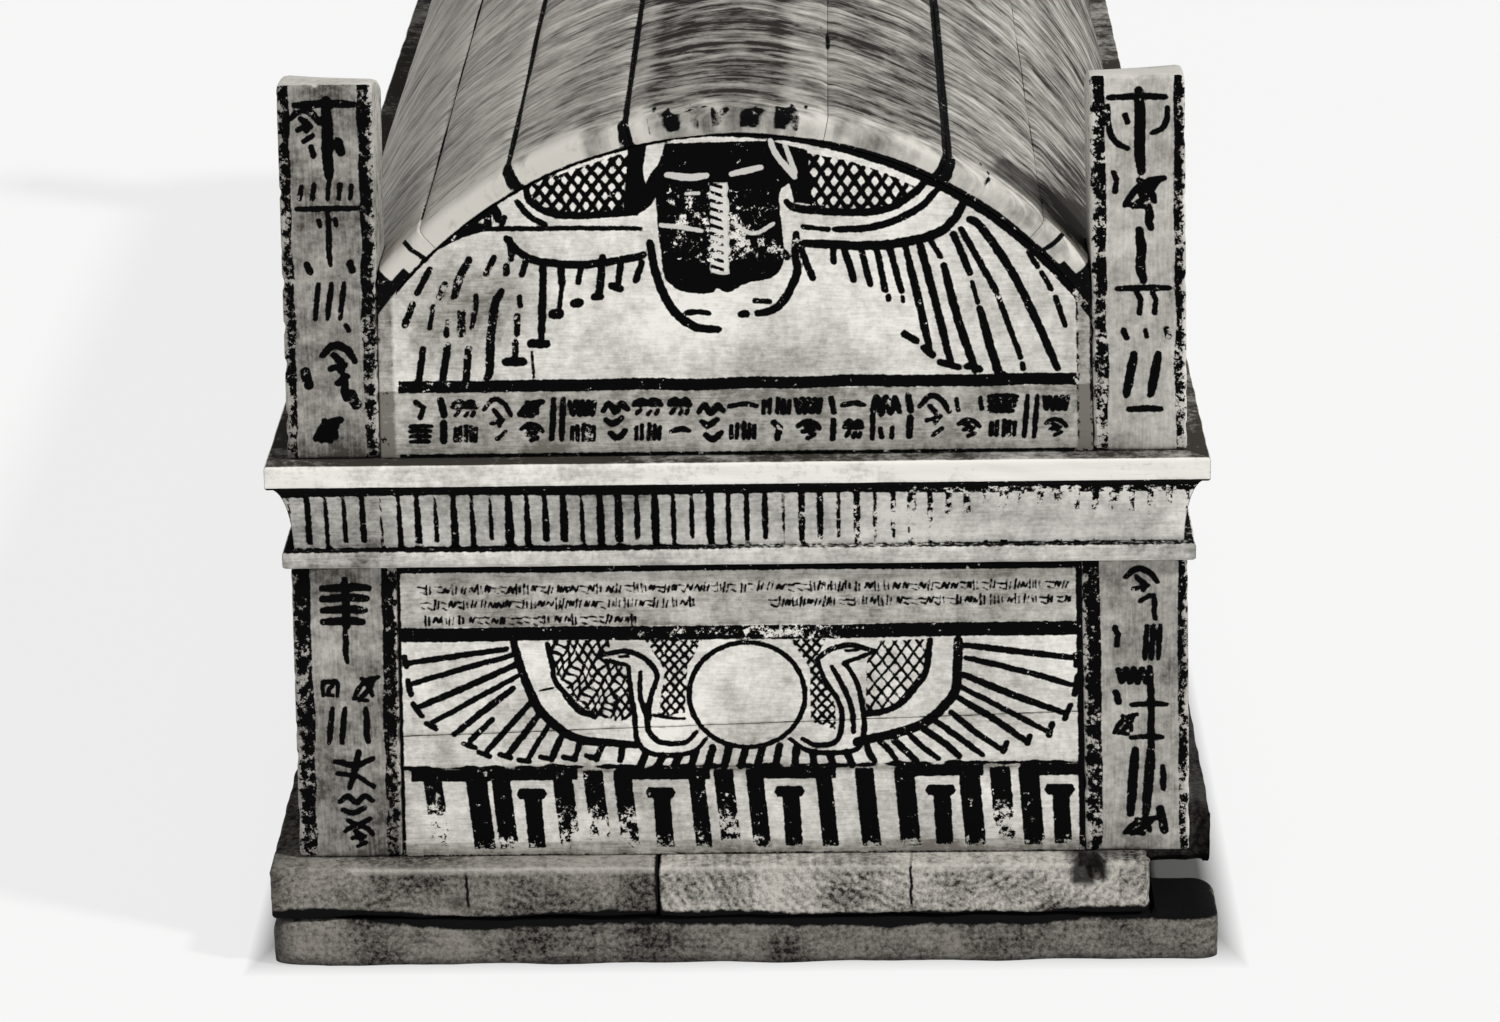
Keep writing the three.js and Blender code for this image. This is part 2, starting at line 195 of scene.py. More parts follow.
def slow_waves(u, v, size, seed):
    """Unevenness between -1 and 1: seven sines of u and v in random directions, waves about size mm long."""
    rng = np.random.default_rng(seed)
    total = np.zeros(np.broadcast(u, v).shape)
    for _ in range(7):
        angle = rng.uniform(0, math.pi)
        pitch = 2 * math.pi / (size * rng.uniform(0.6, 1.8))
        total = total + np.sin(pitch * (u * math.cos(angle) + v * math.sin(angle)) + rng.uniform(0, 6.3))
    return total / 4.0


def add_piece(name, points, quads, caps, material, nodes, fields=None):
    """One closed mesh from points in mm, four-cornered faces and flat caps, with a number per point."""
    mesh = bpy.data.meshes.new(name)
    faces = np.asarray(quads).tolist() + [list(map(int, cap)) for cap in caps]
    mesh.from_pydata((np.asarray(points) * 0.001).tolist(), [], faces)
    for field, values in (fields or {}).items():
        layer = mesh.attributes.new(field, "FLOAT", "POINT")
        layer.data.foreach_set("value", np.asarray(values, dtype=np.float32))
    mesh.shade_smooth()
    mesh.set_sharp_from_angle(angle=math.radians(SHARP_EDGE_DEG))
    mesh.materials.append(material)
    piece = bpy.data.objects.new(name, mesh)
    bpy.context.scene.collection.objects.link(piece)
    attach(piece, "root")
    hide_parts(*nodes)


def ring_faces(first, second):
    """Faces between two closed rings of points with equal counts, the first one nearer the viewer."""
    return np.stack([first, second, np.roll(second, -1), np.roll(first, -1)], axis=1)


def bare_timber(name, pith, grain_axis, ring_mm, ring_share, pale, deep, cracks=()):
    """Old softwood, sawn, worn and dry, quite matt: rings about the pith line, pores, stains and dirt.

    The rings are a wave of the distance from the pith line, so an end shows arcs and a side shows
    long grain. pith gives that line's place in mm. Painted shade is black within 3 mm or so of the
    joint between planks and battens, in slow waves, where the gap under the boards lies in shadow. A
    crack is (x, half width, lowest z, highest z) in mm and wanders from side to side, and the number
    given at each point darkens the wood, both as stains and as painted shade.
    """
    wood = new_material(name)
    place = add_node(wood, "TexCoord").outputs["Object"]
    stretch = (0.12, 1.0, 1.0) if grain_axis == "X" else (1.0, 0.12, 1.0)
    moved = tuple(-0.001 * v * s for v, s in zip(pith, stretch))
    centred = add_node(wood, "Mapping", {
        "Vector": place, "Location": moved, "Scale": stretch})
    rings = add_node(wood, "TexWave", {
        "Vector": centred, "Scale": RING_SCALE / ring_mm, "Distortion": 9.0, "Detail": 4.0,
        "Detail Scale": 0.8, "Detail Roughness": 0.7}, wave_type="RINGS", rings_direction=grain_axis)
    stains, pores, chips = (
        add_node(wood, "TexNoise", {
            "Vector": place, "Scale": 1000 / size, "Detail": detail, "Roughness": rough})
        for size, detail, rough in ((STAIN_MM, 5.0, 0.62), (PORE_MM, 3.0, 0.7), (CHIP_MM, 6.0, 0.75)))
    ringed = add_node(wood, "Math", {0: rings.outputs["Fac"], 1: ring_share}, operation="MULTIPLY")
    stained = add_node(wood, "Math", {0: stains, 1: 1.25, 2: ringed}, operation="MULTIPLY_ADD")
    grain = add_node(wood, "Math", {0: pores, 1: 1.1, 2: stained}, operation="MULTIPLY_ADD")
    share = add_node(wood, "MapRange", {
        "Value": grain, "From Min": 0.97, "From Max": 1.46, "To Min": 0.0, "To Max": 1.0})
    tint = add_node(wood, "Mix", {
        "Factor": share.outputs[0], 6: linear(deep), 7: linear(pale)}, data_type="RGBA")
    dark = add_node(wood, "MapRange", {
        "Value": chips, "From Min": 0.57, "From Max": 0.66, "To Min": 0.0, "To Max": 0.6})
    worn = add_node(wood, "Mix", {
        "Factor": dark.outputs[0], 6: tint.outputs[2], 7: linear("#3a3733")}, data_type="RGBA")
    axes = add_node(wood, "SeparateXYZ", {0: place})
    bends = add_node(wood, "TexNoise", {
        "Vector": place, "Scale": 1000 / BEND_MM, "Detail": 2.0})
    height = add_node(wood, "Math", {0: bends, 1: -0.016, 2: axes.outputs[2]}, operation="MULTIPLY_ADD")
    ragged = add_node(wood, "Math", {0: chips, 1: 0.006, 2: height}, operation="MULTIPLY_ADD")
    # painted shade: black along the gap between the planks and the battens
    above = add_node(wood, "Math", {0: ragged, 1: (BOARD_FOOT - 0.5) * 0.001 - 0.005}, operation="SUBTRACT")
    seam = add_node(wood, "Math", {0: above}, operation="ABSOLUTE")
    low = add_node(wood, "MapRange", {
        "Value": seam, "From Min": 0.0030, "From Max": 0.0042, "To Min": 1.0, "To Max": 0.0})
    crook = add_node(wood, "Math", {0: bends, 1: 0.010, 2: axes.outputs[0]}, operation="MULTIPLY_ADD")
    jagged = add_node(wood, "Math", {0: chips, 1: 0.004, 2: crook}, operation="MULTIPLY_ADD")
    stain_and_shade = add_node(wood, "Attribute", attribute_name="stain_and_shade").outputs["Fac"]
    dirt_and_shade = add_node(wood, "Math", {0: low.outputs[0], 1: stain_and_shade}, operation="MAXIMUM")
    for x, half, lowest, highest in cracks:
        aside = add_node(wood, "Math", {0: jagged, 1: x * 0.001 + 0.007}, operation="SUBTRACT")
        gap = add_node(wood, "Math", {0: aside}, operation="ABSOLUTE")
        split = add_node(wood, "MapRange", {
            "Value": gap, "From Min": half * 0.0006, "From Max": half * 0.0012,
            "To Min": 1.0, "To Max": 0.0})
        over = add_node(wood, "MapRange", {
            "Value": axes.outputs[2], "From Min": lowest * 0.001, "From Max": lowest * 0.001 + 0.003})
        below = add_node(wood, "MapRange", {
            "Value": axes.outputs[2], "From Min": highest * 0.001, "From Max": highest * 0.001 + 0.003,
            "To Min": 1.0, "To Max": 0.0})
        span = add_node(wood, "Math", {0: over.outputs[0], 1: below.outputs[0]}, operation="MULTIPLY")
        cracked = add_node(wood, "Math", {0: split.outputs[0], 1: span}, operation="MULTIPLY")
        dirt_and_shade = add_node(wood, "Math", {0: dirt_and_shade, 1: cracked}, operation="MAXIMUM")
    rubbed = add_node(wood, "MapRange", {
        "Value": stain_and_shade, "From Min": -0.22, "From Max": 0.0, "To Min": 0.55, "To Max": 0.0})
    paled = add_node(wood, "Mix", {
        "Factor": rubbed.outputs[0], 6: worn.outputs[2], 7: linear("#c9c5bc")}, data_type="RGBA")
    soiled_and_shaded = add_node(wood, "Mix", {
        "Factor": dirt_and_shade, 6: paled.outputs[2], 7: linear("#060505")}, data_type="RGBA")
    relief = add_node(wood, "Math", {0: chips, 1: 1.2, 2: grain}, operation="MULTIPLY_ADD")
    bump = add_node(wood, "Bump", {"Height": relief, "Strength": 0.55, "Distance": 0.0009})
    shader = add_node(wood, "BsdfPrincipled", {
        "Base Color": soiled_and_shaded.outputs[2], "Roughness": 0.88, "Specular IOR Level": 0.12, "Normal": bump})
    add_node(wood, "OutputMaterial", {"Surface": shader})
    return wood


def batten_points(end):
    """Sections in Y and Z carried along X: a rounded box whose corners shrink at both ends.

    Stations lie closer at the ends, x = half width * sine of an even angle. The upper edges are
    rounded by 4 mm in a slow wave, and the right front end rises where the splinter stays.
    """
    stations = BASE_HALF_WIDTH * np.sin(np.linspace(-math.pi / 2, math.pi / 2, BATTEN_STATIONS))
    turn = np.linspace(0, math.pi / 2, 5)
    corner = [(1 - math.cos(t), math.sin(t)) for t in turn]
    depth_steps = np.linspace(0, 1, 9)
    rows = []
    for x in stations:
        nose = max(0.0, abs(x) - (BASE_HALF_WIDTH - BATTEN_NOSE)) / BATTEN_NOSE
        shrink = 0.5 * BATTEN_NOSE * (1 - math.sqrt(max(0.0, 1 - nose ** 2)))
        wear = 3.6 + 1.1 * math.sin(x / 31) * math.cos(x / 17) + 0.5 * math.sin(x / 6.1 + end)
        rise = STUB_RISE if end < 0 and x > STUB_START else 0.0
        top = BATTEN_HEIGHT + rise - shrink - 0.35 * (1 + math.sin(x / 23 + end))
        tread = 1.4 + 1.2 * math.sin(x / 37 + 2 * end) * math.sin(x / 11)
        sides = [(shrink + tread * (1 - v) ** 6, v * (top - wear)) for v in np.linspace(0, 1, 9)]
        near = [(shrink + wear * a, top - wear + wear * b) for a, b in corner[1:]]
        across = [(shrink + wear + (BATTEN_DEPTH - 2 * shrink - 2 * wear) * v, top) for v in depth_steps[1:]]
        far = [(BATTEN_DEPTH - shrink - wear * a, top - wear + wear * b) for a, b in corner[-2::-1]]
        rows.append([(x, y, z) for y, z in sides + near + across + far + [(BATTEN_DEPTH - shrink, 0.0)]])
    points = np.array(rows)
    ripple = 0.35 * slow_waves(points[..., 0], points[..., 2] * 3, 19, 5)
    points[..., 1] = points[..., 1] + np.where(points[..., 1] < 8, np.abs(ripple), 0.0)
    points[..., 1] = end * (BASE_HALF_LENGTH - points[..., 1])
    return points


def add_battens():
    """Each batten is closed by flat caps; the rear one mirrors the front one, so its faces turn over."""
    wood = bare_timber("old_softwood_batten", (0, -575, -22), "X", 3.5, 0.06, "#86817a", "#161412")
    for name, end in (("batten_front", -1), ("batten_rear", 1)):
        points = batten_points(end)
        count = points.shape[1]
        index = np.arange(points.shape[0] * count).reshape(points.shape[:2])
        quads = np.concatenate([ring_faces(a, b) for a, b in zip(index[:-1], index[1:])])
        caps = [index[0], index[-1][::-1]]
        if end > 0:
            quads = quads[:, ::-1]
            caps = [cap[::-1] for cap in caps]
        x, z = points[..., 0], points[..., 2]
        # the batten top under the broken corner and the post is darkened: painted shade, with some grime
        hidden = np.clip((x - BREAK_X) / 6, 0, 1) * np.clip((z - 21.0) / 3, 0, 1) * (end < 0)
        # darker along the foot: painted shade where the batten stands on the floor
        low = np.clip(1 - (z - 1.5 * slow_waves(x, z, 40, 7)) / 3.5, 0, 1) * 0.75
        # darker at the left end: painted shade on the side away from the lamp
        nose = np.clip((-x - BASE_HALF_WIDTH + 10) / 9, 0, 1) * 0.6
        stain_and_shade = np.clip(np.maximum(np.maximum(hidden * 0.78, low), nose), 0, 0.93)
        add_piece(name, points.reshape(-1, 3), quads, caps, wood, [name],
                  {"stain_and_shade": stain_and_shade.ravel()})


add_battens()


# Base boards: two thick planks side by side, with their grain along the coffin, so that the front
# shows sawn end grain. The right one has lost a strip at its front corner, where the rough broken
# face stands over the batten, and has a small square notch in its upper edge.
BOARD_TOP = 51.6
BREAK_LENGTH = 61.0
BREAK_RAG = 4.0
NOTCH_X = 166.0
NOTCH_WIDTH = 13.5
NOTCH_HEIGHT = 9.0
NOTCH_DEPTH = 12.0
PLANK_STEP = 2.9
JOINT_GAP = 0.15


def patch(u, v, centre_u, centre_v, half_u, half_v):
    """A soft spot of paint or wear: 1 at its centre, fading as exp(-r^2) over its half sizes."""
    return np.exp(-((u - centre_u) / half_u) ** 2 - ((v - centre_v) / half_v) ** 2)


def walk(outline, step):
    """Points every step mm or so along a closed outline, its corners kept."""
    outline = np.asarray(outline, dtype=float)
    pieces = []
    for a, b in zip(outline, np.roll(outline, -1, axis=0)):
        count = max(1, int(round(np.linalg.norm(b - a) / step)))
        pieces.append(a + (b - a) * (np.arange(count) / count)[:, None])
    return np.concatenate(pieces)


def outward(outline):
    """Unit normals of an anticlockwise closed outline: its tangent turned a quarter to the right."""
    tangent = np.roll(outline, -1, axis=0) - np.roll(outline, 1, axis=0)
    normal = np.stack([tangent[:, 1], -tangent[:, 0]], axis=1)
    return normal / np.maximum(np.linalg.norm(normal, axis=1), 1e-9)[:, None]


def plank(outline, foot_wear, seed):
    """A plan outline carried up a profile: rounded foot, upright edge, rounded top, and flat caps.

    Each ring is the outline moved inwards by its inset. The foot's rounding foot_wear varies in slow
    waves, as the saw and the wear left it, and the upright faces have a ripple of 0.4 mm.
    """
    outline = walk(outline, PLANK_STEP)
    normal = outward(outline)
    wave = slow_waves(outline[:, 0], outline[:, 1] * 0.6, 60, seed)
    foot_radius = foot_wear * (1 + 0.55 * wave)
    top_radius = 1.6 + 0.7 * slow_waves(outline[:, 0], outline[:, 1], 17, seed + 1)
    quarter = np.linspace(0, math.pi / 2, 5)
    rings = []
    for t in quarter:
        rings.append((foot_radius * (1 - math.sin(t)), BOARD_FOOT + foot_radius * (1 - math.cos(t))))
    upright = np.linspace(0, 1, 9)[1:-1]
    for share in upright:
        low = BOARD_FOOT + foot_radius
        high = BOARD_TOP - top_radius
        rings.append((np.zeros(len(outline)), low + (high - low) * share))
    for t in quarter:
        rings.append((top_radius * (1 - math.cos(t)), BOARD_TOP - top_radius * (1 - math.sin(t))))
    points = []
    for inset, height in rings:
        ripple = 0.4 + 0.4 * slow_waves(outline[:, 0] + outline[:, 1], height * 2.5, 22, seed + 2)
        inset = inset + np.clip(ripple, 0, 1.2)
        in_notch = (np.abs(outline[:, 0] - NOTCH_X) < NOTCH_WIDTH / 2) & (outline[:, 1] < -600)
        in_notch &= height > BOARD_TOP - NOTCH_HEIGHT
        inset = np.where(in_notch, NOTCH_DEPTH, inset)
        flat = outline - normal * inset[:, None]
        points.append(np.column_stack([flat, height]))
    return np.array(points)


def add_base_boards():
    """Both planks keep JOINT_GAP clear of the joint between them.

    The broken edge runs back along two sines with a rag of 1 to 3 mm, then out in a torn zigzag. The
    torn faces are darkened as painted shade under the post, deeper further back, the notch is darkened,
    the left end of the left plank is darkened as painted shade away from the lamp, and the upper arris
    of the front is rubbed pale.
    """
    x, y = BASE_HALF_WIDTH, BASE_HALF_LENGTH
    left, right = BOARD_JOINT_X - JOINT_GAP, BOARD_JOINT_X + JOINT_GAP
    broken = -y + BREAK_LENGTH
    ragged = [(BREAK_X + 1.6 * math.sin(0.9 * k) + 1.2 * math.sin(2.3 * k), -y + BREAK_LENGTH * k / 12)
              for k in range(1, 12)]
    torn = [(BREAK_X + (x - BREAK_X) * k / 6, broken - BREAK_RAG * abs(math.sin(1.7 * k + 0.5)))
            for k in range(0, 7)]
    left_outline = [(-x, -y), (left, -y), (left, y), (-x, y)]
    right_outline = [(right, -y), (BREAK_X, -y), *ragged, *torn, (x, y), (right, y)]
    left_wood = bare_timber("sawn_plank_left", (-150, 0, -45), "Y", 4.4, 0.06, "#938e86", "#181614",
                            ((-134, 0.9, 29, 47), (BOARD_JOINT_X, 1.6, BOARD_FOOT, 52)))
    right_wood = bare_timber("sawn_plank_right", (98, 0, 96), "Y", 4.6, 0.13, "#c2bdb4", "#2c2926",
                             ((80, 0.8, 28, 50), (BOARD_JOINT_X, 1.6, BOARD_FOOT, 52)))
    for name, outline, wear, wood, seed in (
            ("base_board_left", left_outline, 4.2, left_wood, 11),
            ("base_board_right", right_outline, 3.4, right_wood, 12)):
        points = plank(outline, wear, seed)
        count = points.shape[1]
        index = np.arange(points.shape[0] * count).reshape(points.shape[:2])
        quads = np.concatenate([ring_faces(b, a) for a, b in zip(index[:-1], index[1:])])
        caps = [index[0][::-1], index[-1]]
        px, py, pz = points[..., 0], points[..., 1], points[..., 2]
        notch = np.abs(px - NOTCH_X) < NOTCH_WIDTH / 2 + 0.6
        notch = notch & (py < -590) & (pz > BOARD_TOP - NOTCH_HEIGHT - 1)
        # torn faces under the post are darkened, more so further back: painted shade
        torn_face = (px > BREAK_X - 2.5) & (py > -607)
        shade_under_post = np.clip((px - BREAK_X + 3) / 4, 0, 1) * np.clip((py + 609) / 12, 0.2, 1)
        stain_and_shade = np.maximum(0.92 * notch, 0.9 * torn_face * shade_under_post)
        stain_and_shade = np.maximum(stain_and_shade, 0.75 * patch(px, pz, -139, 33, 5, 3.5) * (py < -600))
        # the left end is darkened: painted shade on the side away from the lamp
        stain_and_shade = np.maximum(stain_and_shade, 0.45 * np.clip((-px - 221) / 6, 0, 1))
        worn_arris = np.exp(-((pz - BOARD_TOP + 1.2) / 1.1) ** 2) * (np.abs(px) < 190) * (py < -600)
        stain_and_shade = stain_and_shade - 0.22 * worn_arris
        add_piece(name, points.reshape(-1, 3), quads, caps, wood, [name],
                  {"stain_and_shade": stain_and_shade.ravel()})


add_base_boards()


# Posts of the case: four squared uprights at the corners, gessoed, painted grey, and bordered in
# black, with a column of black signs on the front face. They lean in with the long sides.
# The signs are generic brush marks of the same weight and spacing as the painter's.
CASE_FOOT = 51.9
CASE_TOP = 202.5
HALF_LENGTH = 596.5
POST_WIDTH = 50.0
POST_DEPTH = 44.0
BATTER = 0.021646
FOOT_HALF_WIDTH = 214.75
PAINT_REACH = 5.0
SWELL = 0.3
POST_BORDER = 7.0
FRONT_POST_STEP = 1.0
PLAIN_STEP = 2.8
BRISTLE_MM = 2.6
FLAKE_MM = 3.4
SPOT_MM = 9.0
CLOUD_MM = 46.0


def half_width_at(height):
    """Half the width over the posts: FOOT_HALF_WIDTH at the foot of the case, less with the lean."""
    return FOOT_HALF_WIDTH - (height - CASE_FOOT) * BATTER


def level(height):
    """An edge of a board that stays at one height or place, whatever the other coordinate is."""
    return lambda other: other * 0 + height


def curve_through(knots, count=9):
    """A smooth line through its knots (Catmull-Rom): each span blends the slopes of its neighbours."""
    knots = np.asarray(knots, dtype=float)
    if len(knots) < 3:
        return knots
    padded = np.concatenate([[2 * knots[0] - knots[1]], knots, [2 * knots[-1] - knots[-2]]])
    t = (np.arange(count) / count)[:, None]
    spans = []
    for a, b, c, d in zip(padded[:-3], padded[1:-2], padded[2:-1], padded[3:]):
        spans.append(0.5 * (2 * b + (c - a) * t + (2 * a - 5 * b + 4 * c - d) * t ** 2
                            + (3 * b - a - 3 * c + d) * t ** 3))
    return np.concatenate(spans + [knots[-1:]])


def stroke(knots, width, taper=0.25, count=9):
    """A brush stroke: a smooth line, and a width in mm at each of its points, less at both ends."""
    line = curve_through(knots, count)
    share = np.linspace(0, 1, len(line))
    press = 1 - taper * np.abs(2 * share - 1) ** 3
    return line, width * press


def distance_to_strokes(u, v, strokes):
    """Signed distance in mm from each point to the nearest brush stroke, and below zero inside it.

    The distance to a segment is that to its nearest point less half the width there, and less the
    swell of wet paint beyond the brush.
    """
    found = np.full(len(u), PAINT_REACH)
    for line, widths in strokes:
        for (au, av), (bu, bv), aw, bw in zip(line[:-1], line[1:], widths[:-1], widths[1:]):
            reach = PAINT_REACH + max(aw, bw) / 2
            near = np.flatnonzero((u > min(au, bu) - reach) & (u < max(au, bu) + reach)
                                  & (v > min(av, bv) - reach) & (v < max(av, bv) + reach))
            if not len(near):
                continue
            du, dv = u[near] - au, v[near] - av
            eu, ev = bu - au, bv - av
            share = np.clip((du * eu + dv * ev) / max(eu * eu + ev * ev, 1e-9), 0, 1)
            away = np.hypot(du - share * eu, dv - share * ev) - (aw + (bw - aw) * share) / 2
            found[near] = np.minimum(found[near], away)
    return found - SWELL


def distance_to_block(u, v, outline):
    """Signed distance in mm to a filled outline: to its nearest edge, and below zero inside it."""
    outline = np.asarray(outline, dtype=float)
    edge = SWELL + distance_to_strokes(u, v, [(np.concatenate([outline, outline[:1]]),
                                               np.zeros(len(outline) + 1))])
    inside = np.zeros(len(u), dtype=bool)
    for (au, av), (bu, bv) in zip(outline, np.roll(outline, -1, axis=0)):
        crosses = (av > v) != (bv > v)
        inside ^= crosses & (u < au + (bu - au) * (v - av) / (bv - av if bv != av else 1e-9))
    return np.where(inside, -edge, edge)


def board(left, right, foot, top, step, thickness, edge, chip, seed, depth_steps=2):
    """A board seen from its face, as (across, up, depth) in mm, and closed by a flat back.

    The face is a grid: s runs from the left edge to the right one, t from the foot to the top, and
    each point is the blend of the two edges by s at its height and of foot and top by t. Rings then
    carry the grid's rim round a quarter circle of radius edge, and back to the full thickness. chip
    is how far the worn arris falls short in places.
    """
    mean = (foot(np.zeros(1))[0] + top(np.zeros(1))[0]) / 2
    width = float(right(mean) - left(mean))
    height = float(top(np.zeros(1))[0] - foot(np.zeros(1))[0])
    s, t = np.meshgrid(np.linspace(0, 1, int(width / step) + 1), np.linspace(0, 1, int(height / step) + 1))
    across = left(mean) + edge + (right(mean) - left(mean) - 2 * edge) * s
    up = foot(across) + edge + (top(across) - foot(across) - 2 * edge) * t
    across = left(up) + edge + (right(up) - left(up) - 2 * edge) * s
    ripple = 0.22 * slow_waves(across, up, 34, seed)
    rows, columns = s.shape
    index = np.arange(rows * columns).reshape(rows, columns)
    quads = [np.stack([index[:-1, :-1], index[:-1, 1:], index[1:, 1:], index[1:, :-1]],
                      axis=-1).reshape(-1, 4)]
    rim = np.concatenate([index[0, :], index[1:, -1], index[-1, -2::-1], index[-2:0:-1, 0]])
    flat = np.stack([across.ravel(), up.ravel()], axis=1)
    normal = outward(flat[rim])
    around = np.cumsum(np.linalg.norm(flat[rim] - np.roll(flat[rim], 1, axis=0), axis=1))
    nibble = np.clip(slow_waves(around, around * 0.3, 13, seed + 1) - 0.25, 0, 1) * chip
    stations = [(edge * math.sin(a), edge * (1 - math.cos(a))) for a in (0.5, 1.05, math.pi / 2)]
    stations += [(edge, edge + (thickness - 2 * edge) * k / depth_steps) for k in range(1, depth_steps + 1)]
    stations += [(edge * math.cos(a), thickness - edge * (1 - math.sin(a))) for a in (0.8, math.pi / 2)]
    points = [np.column_stack([flat, ripple.ravel()])]
    last = rim
    total = rows * columns
    for out, depth in stations:
        fade = max(0.0, 1 - depth / 9)
        ring = flat[rim] + normal * (out - nibble * fade)[:, None]
        points.append(np.column_stack([ring, depth + ripple.ravel()[rim] * fade + nibble * fade * 0.6]))
        following = np.arange(total, total + len(rim))
        quads.append(ring_faces(last, following))
        last = following
        total += len(rim)
    return np.concatenate(points), np.concatenate(quads), [last[::-1]]


def faced(points, distance, turn_deg):
    """Turns (across, up, depth) to X, Y, Z: the face stands at -Y by distance, then turns about Z."""
    angle = math.radians(turn_deg)
    x, y = points[:, 0], points[:, 2] - distance
    return np.column_stack([x * math.cos(angle) - y * math.sin(angle),
                            x * math.sin(angle) + y * math.cos(angle), points[:, 1]])


def painted_gesso(name, pale, deep, ink, streak_mm, roughness):
    """Chalk gesso over wood with brushed soot-black paint: matt, clouded and flaked, with ragged strokes.

    streak_mm is the size of the brush streaks along X, Y and Z. Each piece carries numbers at its
    points: ink and chalk are distances in mm to black and to pale strokes, tone lightens or darkens
    broad areas, and wear says how much of the paint is gone.
    """
    paint = new_material(name)
    place = add_node(paint, "TexCoord").outputs["Object"]
    fields = {key: add_node(paint, "Attribute", attribute_name=key).outputs["Fac"]
              for key in ("ink", "chalk", "tone", "wear")}
    hairs = add_node(paint, "Mapping", {
        "Vector": place, "Scale": tuple(1 / size for size in streak_mm)})
    streaks = add_node(paint, "TexNoise", {"Vector": hairs, "Scale": 1000.0, "Detail": 3.0})
    bristle, flakes, clouds, spots = (
        add_node(paint, "TexNoise", {
            "Vector": place, "Scale": 1000 / size, "Detail": detail, "Roughness": rough})
        for size, detail, rough in ((BRISTLE_MM, 4.0, 0.6), (FLAKE_MM, 6.0, 0.72),
                                    (CLOUD_MM, 4.0, 0.55), (SPOT_MM, 5.0, 0.7)))

    softened = add_node(paint, "Math", {0: bristle, 1: 1.5, 2: fields["ink"]}, operation="MULTIPLY_ADD")
    covered = add_node(paint, "MapRange", {
        "Value": softened, "From Min": 0.55, "From Max": 0.95, "To Min": 1.0, "To Max": 0.0})
    patchy = add_node(paint, "Math", {0: spots, 1: -0.45, 2: 0.98}, operation="MULTIPLY_ADD")
    holding = add_node(paint, "Math", {0: fields["wear"], 1: -0.30, 2: patchy}, operation="MULTIPLY_ADD")
    missing = add_node(paint, "Math", {0: flakes, 1: holding}, operation="SUBTRACT")
    bare = add_node(paint, "MapRange", {
        "Value": missing, "From Min": -0.015, "From Max": 0.015, "To Min": 1.0, "To Max": 0.0})
    blackened = add_node(paint, "Math", {0: covered.outputs[0], 1: bare.outputs[0]}, operation="MULTIPLY")
    thin = add_node(paint, "Math", {0: fields["chalk"], 1: bristle}, operation="ADD")
    chalked = add_node(paint, "MapRange", {
        "Value": thin, "From Min": 0.35, "From Max": 0.70, "To Min": 0.85, "To Max": 0.0})

    brushed = add_node(paint, "Math", {0: streaks, 1: 0.5, 2: -1.15}, operation="MULTIPLY_ADD")
    dusted = add_node(paint, "Math", {0: bristle, 1: 0.7, 2: brushed}, operation="MULTIPLY_ADD")
    clouded = add_node(paint, "Math", {0: clouds, 1: 1.1, 2: dusted}, operation="MULTIPLY_ADD")
    spotted = add_node(paint, "Math", {0: spots, 1: 1.0, 2: clouded}, operation="MULTIPLY_ADD")
    toned = add_node(paint, "Math", {0: fields["tone"], 1: 0.5, 2: spotted}, operation="MULTIPLY_ADD")
    ground = add_node(paint, "Mix", {
        "Factor": toned, 6: linear(deep), 7: linear(pale)}, data_type="RGBA")
    blacked = add_node(paint, "Mix", {
        "Factor": blackened, 6: ground.outputs[2], 7: linear(ink)}, data_type="RGBA")
    lined = add_node(paint, "Mix", {
        "Factor": chalked.outputs[0], 6: blacked.outputs[2], 7: linear("#d9d6d0")}, data_type="RGBA")
    relief = add_node(paint, "Math", {0: flakes, 1: 0.6, 2: streaks}, operation="MULTIPLY_ADD")
    bump = add_node(paint, "Bump", {"Height": relief, "Strength": 0.35, "Distance": 0.0005})
    shader = add_node(paint, "BsdfPrincipled", {
        "Base Color": lined.outputs[2], "Roughness": roughness, "Specular IOR Level": 0.06, "Normal": bump})
    add_node(paint, "OutputMaterial", {"Surface": shader})
    return paint


def gesso_fields(ink, tone, wear, chalk=None):
    """The numbers at the points of a painted piece; chalk is out of reach where none is given."""
    return {"ink": ink, "chalk": np.full(ink.shape, PAINT_REACH) if chalk is None else chalk,
            "tone": tone, "wear": wear}


